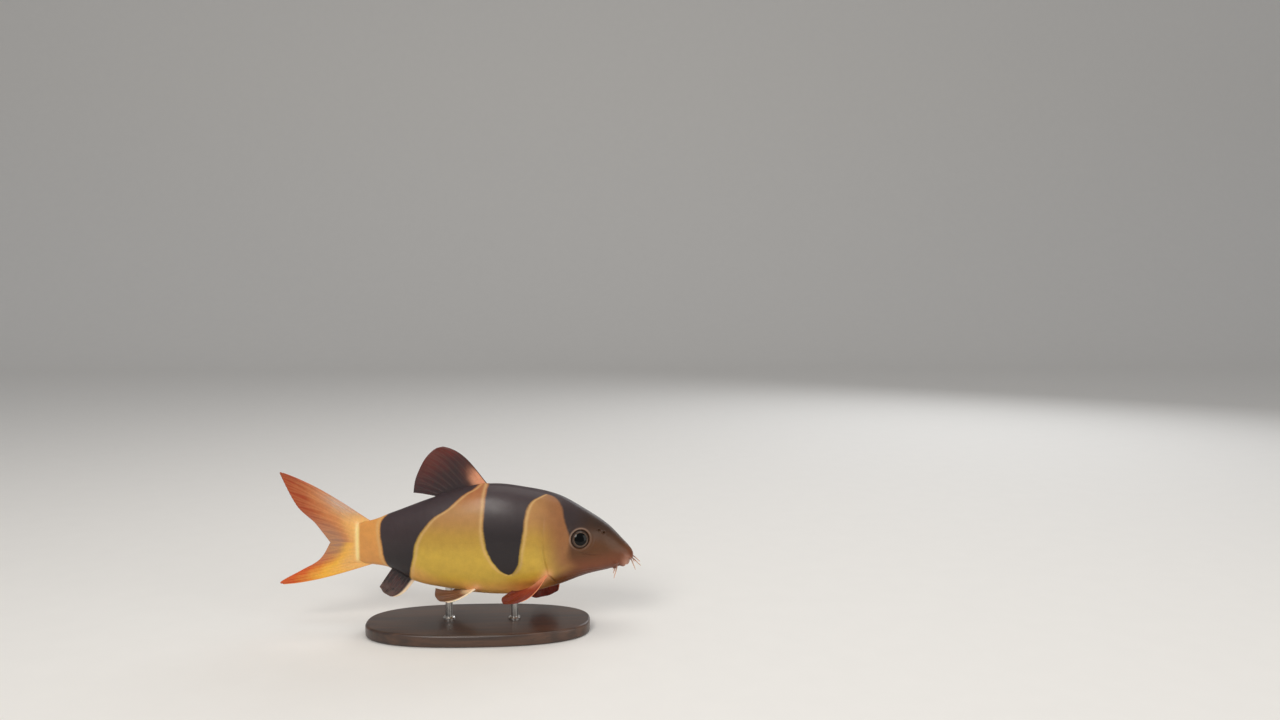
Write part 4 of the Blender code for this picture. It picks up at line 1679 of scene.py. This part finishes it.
@dataclass
class Fins:
    """All the fins of the fish, rooted on its skin."""

    form: Form
    pectoral_root: Knots = ((42.6, -14.0), (46.4, -18.8))
    pelvic_root: Knots = ((77.4, -21.8), (80.6, -23.8))

    def ridge(self, spots: tuple[float, ...], line: Line) -> np.ndarray:
        """Root line on the back's ridge or the belly's keel."""
        s = np.array(spots, float)
        return np.stack((s, np.zeros_like(s), line(s)), axis=-1)

    def flank(self, ends: Knots, side: Side, margin: list[Spot]) -> dict:
        """Root line on the flank and the way into the flesh there.

        Args:
            ends: the root's two ends, each as s and z.
            side: the flank that it lies on.
            margin: the fin's free margin.

        Returns:
            The root line, and the way inwards at its ends, between the fin's own way and the flank's depth.
        """
        (s0, z0), (s1, z1) = ends
        stations = [(s0 + (s1 - s0) * t, z0 + (z1 - z0) * t) for t in np.linspace(0.0, 1.0, 5)]
        turns = [(s, self.form.turn_at(s, z, side)) for s, z in stations]
        root = np.array([self.form.section(s, turn) for s, turn in turns])
        inward = []
        for end in (0, -1):
            way = unit(root[end] - np.array(margin[end]))
            inward.append(tuple(way * 0.6 - self.form.outward(*turns[end]) * 0.8))
        return {"root": root, "inward": tuple(inward)}

    def dorsal(self) -> Fin:
        """The dark sail on the back, flushed with pink at its front foot.

        Returns:
            The dorsal fin.
        """
        finish = FinFinish(
            "dorsal_membrane", root=tone(44, 30, 33), middle=tone(46, 31, 32), margin=tone(88, 36, 27),
            lead=tone(58, 30, 22), ray=tone(92, 68, 62), inner=tone(44, 30, 34), lead_width=0.03,
            web_alpha=0.97, margin_alpha=0.93, patch=tone(214, 148, 112), patch_far=tone(92, 54, 42),
            patch_at=(0.04, 0.06), patch_reach=(0.3, 0.42),
        )
        margin = [
            (95, 0.6, 47.4), (99.5, 0.4, 46.0), (104.5, 0, 40.6), (108.6, -0.4, 32.0), (110, -0.6, 24.2),
        ]
        return Fin(self.form, "dorsal_rays", "dorsal_fin", "dark_fin", finish,
                   self.ridge((73, 79.5, 86, 92.5, 98.5), self.form.top), margin,
                   ((-1.6, 0.0, 2.3), (0.2, 0.0, 0.2)), 11, plain_rays=3)

    def anal(self) -> Fin:
        """The short dark fin under the tail, with a cream leading edge.

        Returns:
            The anal fin.
        """
        finish = FinFinish(
            "anal_membrane", root=tone(40, 32, 34), middle=tone(66, 50, 50), margin=tone(92, 72, 66),
            lead=tone(250, 222, 188), ray=tone(130, 106, 96), spots=tone(32, 26, 28), lead_width=0.2,
            web_alpha=0.92, margin_alpha=0.8,
        )
        return Fin(self.form, "anal_rays", "anal_fin", "dark_fin", finish,
                   self.ridge((110, 113.5, 117, 121.5), self.form.belly),
                   [(120.6, -0.5, -29.2), (123.4, -0.4, -28.8), (126.4, 0.2, -27.2), (128.4, 0.4, -24.4)],
                   ((-0.8, 0.0, -1.2), (0.3, 0.0, -0.4)), 8, inward=((0, 0, 1), (0, 0, 1)), rows=44)

    def tail(self) -> TailFin:
        """The two lobes of the tail fin, amber to red at the tips and grey-pink in the fork.

        Returns:
            The tail fin.
        """
        form = self.form
        # The painted highlight line across the tail's root runs on over both lobes
        shared = {"root": tone(240, 182, 104), "inner": tone(176, 124, 92), "inner_alpha": 0.8,
                  "line": tone(255, 226, 160), "root_highlight_at": form.snout_ahead - form.standard_length - 0.6,
                  "root_highlight_height": form.axis_height + form.fork_z, "web_alpha": 0.9}
        upper = FinFinish(
            "tail_membrane_upper", middle=tone(206, 132, 76), margin=tone(156, 56, 14),
            lead=tone(196, 134, 98), ray=tone(222, 164, 108), lead_width=0.03, margin_alpha=0.94,
            haze=tone(206, 164, 132), haze_alpha=0.55, **shared,
        )
        lower = FinFinish(
            "tail_membrane_lower", middle=tone(246, 184, 64), margin=tone(200, 62, 5),
            lead=tone(222, 150, 62), ray=tone(240, 186, 96), margin_alpha=0.96, **shared,
        )
        end = form.standard_length
        high, low = float(form.top(np.array(end))), float(form.belly(np.array(end)))
        high_start, low_start = float(form.top(np.array(132.5))), float(form.belly(np.array(131.5)))
        fork_root, fork_end = (end, 0, form.fork_z), (153.4, 0.3, -2.3)
        high_root = [(132.5, 0, high_start), (end, 0, high), (end, 0, 5.0), (end, 0, 1.5), fork_root]
        low_root = [(131.5, 0, low_start), (end, 0, low), (end, 0, -9.0), (end, 0, -5.5), fork_root]
        high_tip = [(178.5, 1.6, 32.4), (180.0, 1.8, 31.0), (171.0, 1.4, 15.4), (161.0, 0.8, 6.6), fork_end]
        low_tip = [
            (177.4, -2.6, -24.2), (178.6, -2.8, -22.8), (168.0, -1.6, -16.6), (159.0, -0.6, -11.2), fork_end,
        ]
        common = {"rays": 10, "flesh": 0.0, "from_body": True}
        return TailFin(
            Fin(form, "tail_rays_upper", "caudal_fin_upper", "orange_fin", upper, np.array(high_root),
                high_tip, ((-1.6, 0.3, 1.0), (0, 0, 0)), inward=((-0.4, 0, -0.9), (-1, 0, 0)), **common),
            Fin(form, "tail_rays_lower", "caudal_fin_lower", "orange_fin", lower, np.array(low_root),
                low_tip, ((-1.0, -0.3, -1.0), (0, 0, 0)), inward=((-0.4, 0, 0.9), (-1, 0, 0)), **common))

    def paired(self) -> list[Fin]:
        """The pectoral and pelvic fins.

        Returns:
            The four fins.
        """
        # The pectoral's pale peach root and leading edge are partly the fleshy base's own tone and partly a
        # painted highlight
        breast = FinFinish(
            "pectoral_membrane", root=tone(232, 156, 110), middle=tone(146, 50, 24), margin=tone(100, 28, 14),
            lead=tone(222, 136, 92), ray=tone(168, 78, 46), lead_width=0.06, web_alpha=0.92,
            margin_alpha=0.84,
        )
        # The pelvic's cream root and broad leading edge are partly the fin's own pale lead and partly a
        # painted highlight
        vent = FinFinish(
            "pelvic_membrane", root=tone(250, 218, 172), middle=tone(116, 74, 48), margin=tone(94, 60, 42),
            lead=tone(255, 234, 204), ray=tone(166, 118, 86), lead_width=0.28, web_alpha=0.97,
            margin_alpha=0.92,
        )
        reach = {
            Side.RIGHT: (
                [(54.0, -24.0, -23.8), (59.5, -24.6, -25.0), (63.5, -21.6, -25.2), (64.0, -16.8, -23.9),
                 (60.0, -12.5, -22.0)], ((-1.5, -1.5, -0.4), (0, -0.6, -1.0)),
                [(88.4, -17.4, -25.9), (92.8, -16.6, -26.2), (96.6, -14.0, -24.6), (97.4, -9.8, -21.6)],
                ((-0.6, -1.0, -0.6), (0, -0.4, -0.6))),
            Side.LEFT: (
                [(38.6, 19.0, -31.8), (42.6, 20.5, -34.4), (47.6, 19.5, -35.4), (51.6, 16.0, -34.4),
                 (53.6, 11.5, -30.8)], ((-1.8, 1.5, 0.4), (0.6, 0.6, -0.8)),
                [(92.0, 14.0, -33.0), (96.5, 12.8, -33.8), (100.0, 10.2, -32.4), (100.4, 7.4, -29.0)],
                ((-0.6, 1.0, -0.6), (0, 0.4, -0.6))),
        }
        fins = []
        for side, (breast_margin, breast_bows, vent_margin, vent_bows) in reach.items():
            fins.append(Fin(
                self.form, "pectoral_rays_" + side.word, "pectoral_fin_" + side.word, "red_fin", breast,
                margin=breast_margin, bows=breast_bows, rays=13, plain_rays=1, columns_a_ray=16, rows=52,
                flesh=0.95, **self.flank(self.pectoral_root, side, breast_margin)))
            fins.append(Fin(
                self.form, "pelvic_rays_" + side.word, "pelvic_fin_" + side.word, "orange_fin", vent,
                margin=vent_margin, bows=vent_bows, rays=8, plain_rays=1, rows=52, flesh=0.75,
                **self.flank(self.pelvic_root, side, vent_margin)))
        return fins

    def all(self) -> list[Fin]:
        """Every fin of the fish."""
        return [self.dorsal(), self.anal(), *self.paired()]


@dataclass(frozen=True)
class WoodFinish:
    """Dark stained wood under a satin lacquer."""

    light: Colour = tone(92, 62, 44)
    dark: Colour = tone(40, 27, 21)

    def material(self) -> bpy.types.Material:
        """Builds the base's material.

        Returns:
            The material.
        """
        graph = Graph("stained_wood")
        x, y, z = graph.split(graph.places())
        grain = graph.noise(graph.join(x * 0.07, y, z), 420.0, 6.0)
        bands = graph.noise(graph.join(x * 0.1, y, z), 90.0, 3.0)
        pores = graph.rise(0.62, 0.75, graph.noise(graph.join(x * 0.03, y, z), 1500.0, 2.0))
        colour = graph.mix(self.dark, self.light, graph.rise(0.3, 0.75, grain * 0.6 + bands * 0.4))
        colour = graph.mix(colour, self.dark, pores * 0.7)
        relief = graph.relief(grain * 0.6 - pores, 0.00003)
        rough = 0.34 + grain * 0.16
        return graph.finish(
            Base_Color=colour, Roughness=rough, Normal=relief, Coat_Weight=0.35, Coat_Roughness=0.22,
        )


@dataclass(frozen=True)
class SteelFinish:
    """Turned steel with fine rings."""

    steel: Colour = tone(196, 194, 190)

    def material(self) -> bpy.types.Material:
        """Builds the rods' material.

        Returns:
            The material.
        """
        graph = Graph("turned_steel")
        x, y, z = graph.split(graph.places())
        lines = graph.noise(graph.join(x * 0.3, y * 0.3, z), 6000.0, 1.0)
        colour = graph.shade(self.steel, lines * 0.2 + 0.9)
        relief = graph.relief(lines, 0.000005)
        return graph.finish(Base_Color=colour, Metallic=1.0, Roughness=0.22 + lines * 0.14, Normal=relief)


@dataclass
class Stand:
    """A low oval base with a softened edge, and two short rods with collars."""

    form: Form
    corner: float = 1.2
    oval_power: float = 0.8
    rod_radius: float = 1.8
    collar_radius: float = 3.0
    collar_height: float = 1.2
    let_in: float = 0.5
    rod_stations: tuple[tuple[str, float], ...] = (("front", 60.0), ("rear", 93.0))
    into_body: float = 1.6

    def build_base(self) -> bpy.types.Object:
        """Makes the wooden base, in the CAD base's own box.

        Returns:
            The base.
        """
        low, high = (np.array(corner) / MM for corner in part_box("stand_base"))
        length, width, thickness = high - low
        count = 160
        alone()
        bpy.ops.mesh.primitive_cylinder_add(vertices=count, radius=1.0, depth=1.0, end_fill_type="NGON")
        made = bpy.context.object
        made.name = made.data.name = "stand_plinth"
        flat = points_of(made.data)
        angle = np.arctan2(flat[:, 1], flat[:, 0])
        across = np.copysign(np.abs(np.cos(angle)) ** self.oval_power, np.cos(angle)) * length / 2
        over = np.copysign(np.abs(np.sin(angle)) ** self.oval_power, np.sin(angle)) * width / 2
        middle = (low + high) / 2
        spots = np.stack((across, over, flat[:, 2] * thickness), axis=-1)
        move_points(made.data, (spots + middle) * MM)
        soften = made.modifiers.new("soften", "BEVEL")
        soften.width = self.corner * MM
        soften.segments = 6
        soften.limit_method = "ANGLE"
        apply_all(made)
        bpy.ops.object.shade_smooth_by_angle(angle=math.radians(40))
        made.data.materials.append(WoodFinish().material())
        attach(made, "root")
        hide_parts("stand_base")
        return made

    def build_rod(self, word: str, s: float, finish: bpy.types.Material) -> bpy.types.Object:
        """One rod, let into the belly, with a collar where it meets the base.

        Args:
            word: which rod it is.
            s: how far back from the snout it stands.
            finish: its material.

        Returns:
            The rod.
        """
        foot = self.form.place(np.array((s, 0.0, 0.0))) / MM
        base_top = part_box("stand_base")[1][2] / MM
        top = float(self.form.belly(np.array(s))) + self.form.axis_height + self.into_body
        bottom, shoulder = base_top - self.let_in, base_top + self.collar_height * 0.6
        collar_top = base_top + self.collar_height
        profile = (
            (0.0, bottom), (self.collar_radius, bottom), (self.collar_radius, shoulder),
            (self.collar_radius - 0.5, collar_top), (self.rod_radius, collar_top), (self.rod_radius, top),
            (0.0, top),
        )
        rows = len(profile) - 1

        def shape(around: np.ndarray, along: np.ndarray) -> np.ndarray:
            """Shapes the rod.

            Args:
                around: shares of the way round it.
                along: shares of the way along its profile.

            Returns:
                World places of its points.
            """
            i = np.rint(along * rows).astype(int)
            radius, height = np.array(profile)[i].T
            x, y = foot[0] + radius * np.cos(math.tau * around), foot[1] + radius * np.sin(math.tau * around)
            return np.stack((x, y, height), axis=-1) * MM

        made = rolled("stand_pin_" + word, 48, rows, shape)
        bpy.ops.object.shade_smooth_by_angle(angle=math.radians(30))
        made.data.materials.append(finish)
        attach(made, "root")
        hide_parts("stand_rod_" + word)
        return made

    def build(self) -> list[bpy.types.Object]:
        """Makes the whole stand.

        Returns:
            The base and the rods.
        """
        base = self.build_base()
        steel = SteelFinish().material()
        return [base, *(self.build_rod(word, s, steel) for word, s in self.rod_stations)]


@dataclass
class Studio:
    """The camera at the photograph's viewing angle, soft light and a plain pale floor."""

    camera_place: Spot = (0.0591, -0.4987, 0.1736)
    camera_yaw: float = 2.56
    camera_pitch: float = 4.24
    focal_pixels: float = 1004.0
    frame_pixels: float = 1280.0
    sensor: float = 36.0
    floor_half: float = 3.0
    floor_drop: float = 0.0001
    floor_tone: Colour = tone(238, 235, 230)
    sky: Colour = tone(228, 230, 234)
    sky_strength: float = 0.42

    def camera(self) -> None:
        """Places the camera."""
        lens = bpy.data.cameras.new("camera")
        lens.sensor_width = self.sensor
        lens.lens = self.focal_pixels / self.frame_pixels * self.sensor
        lens.clip_start = 0.01
        made = bpy.data.objects.new("camera", lens)
        made.location = self.camera_place
        made.rotation_euler = (math.radians(90 - self.camera_pitch), 0.0, math.radians(-self.camera_yaw))
        bpy.context.scene.collection.objects.link(made)
        bpy.context.scene.camera = made

    def floor(self) -> None:
        """A pale floor that curves up behind into a backdrop."""
        reach, wall_start, radius, wall = self.floor_half, 1.6, 0.7, 2.0

        def shape(across: np.ndarray, along: np.ndarray) -> np.ndarray:
            """Shapes the floor.

            Args:
                across: shares of the way across it.
                along: shares of the way to its far end.

            Returns:
                World places of its points.
            """
            run = along * (reach + wall_start + radius * math.pi / 2 + wall)
            flat = np.minimum(run, reach + wall_start) - reach
            arc = np.clip((run - reach - wall_start) / radius, 0.0, math.pi / 2)
            rise_up = np.maximum(run - reach - wall_start - radius * math.pi / 2, 0.0)
            y = flat + radius * np.sin(arc)
            z = radius * (1 - np.cos(arc)) + rise_up
            return np.stack(((across - 0.5) * 2 * reach * 1.6, y, z - self.floor_drop), axis=-1)

        made = grid("studio_floor", 8, 160)
        mould(made, shape)
        graph = Graph("studio_paper")
        grain = graph.noise(graph.places(), 60.0, 4.0)
        colour = graph.shade(self.floor_tone, grain * 0.03 + 0.985)
        made.data.materials.append(graph.finish(Base_Color=colour, Roughness=0.85))

    def lamp(self, name: str, place: Spot, aim: Spot, size: float, power: float, colour: Colour) -> None:
        """One soft square light.

        Args:
            name: its name.
            place: where it stands, in metres.
            aim: the spot it points at.
            size: its side, in metres.
            power: its power in watts.
            colour: its colour.
        """
        light = bpy.data.lights.new(name, "AREA")
        light.shape = "SQUARE"
        light.size = size
        light.energy = power
        light.color = colour
        made = bpy.data.objects.new(name, light)
        made.location = place
        made.rotation_euler = (Vector(aim) - Vector(place)).to_track_quat("-Z", "Y").to_euler()
        bpy.context.scene.collection.objects.link(made)

    def build(self) -> None:
        """Sets the whole studio."""
        self.camera()
        self.floor()
        centre = (0.0, 0.0, 0.05)
        self.lamp("light_key", (-0.3, -0.9, 0.75), centre, 0.45, 6.0, (1.0, 0.97, 0.92))
        self.lamp("light_above", (0.1, 0.0, 0.95), centre, 0.7, 2.6, (1.0, 0.97, 0.93))
        self.lamp("light_side", (0.9, -0.6, 0.3), centre, 0.6, 2.2, (1.0, 0.96, 0.9))
        self.lamp("light_behind", (0.6, 0.8, 0.6), centre, 0.6, 2.5, (0.93, 0.96, 1.0))
        world = bpy.data.worlds.new("studio_air")
        world.use_nodes = True
        back = world.node_tree.nodes["Background"]
        back.inputs[0].default_value = (*self.sky, 1.0)
        back.inputs[1].default_value = self.sky_strength
        bpy.context.scene.world = world
        bpy.context.scene.view_settings.view_transform = "Standard"


# Each kind, how far back it grows, its turn from the back's ridge in degrees, its way, and its length
BARBELS: tuple[tuple[str, float, float, Spot, float], ...] = (
    ("rostral_inner", 1.1, 118, (-0.72, 0.16, -0.68), 6.5),
    ("rostral_outer", 2.2, 104, (-0.35, 0.42, -0.84), 7.5),
    ("maxillary", 8.6, 122, (0.28, 0.45, -0.85), 8.5),
    ("mandibular", 9.4, 158, (0.35, 0.18, -0.92), 3.4),
)


def main() -> None:
    """Builds the fish, its stand and the studio."""
    logging.basicConfig(level=logging.INFO)
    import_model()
    snout_ahead = float(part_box("head")[1][0]) / MM
    axis_height = float(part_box("stand_base")[1][2]) / MM + AXIS_ABOVE_BASE
    form = Form(snout_ahead, axis_height)
    studio = Studio()
    studio.build()
    barbels = [Barbel(form, kind, side, s, degrees, way, length)
               for kind, s, degrees, way, length in BARBELS for side in Side]
    fins = Fins(form)
    skin = Skin(form)
    skin.roots += [barbel.foot() for barbel in barbels]
    skin.roots += [fin.foot() for fin in fins.paired()]
    report(skin.build())
    for side in Side:
        report(Eye(form, side).build())
    flesh = BarbelFinish().material()
    for barbel in barbels:
        report(barbel.build(flesh))
    for fin in (*fins.all(), fins.tail()):
        report(fin.build())
    for piece in Stand(form).build():
        report(piece)


if __name__ == "__main__":
    main()
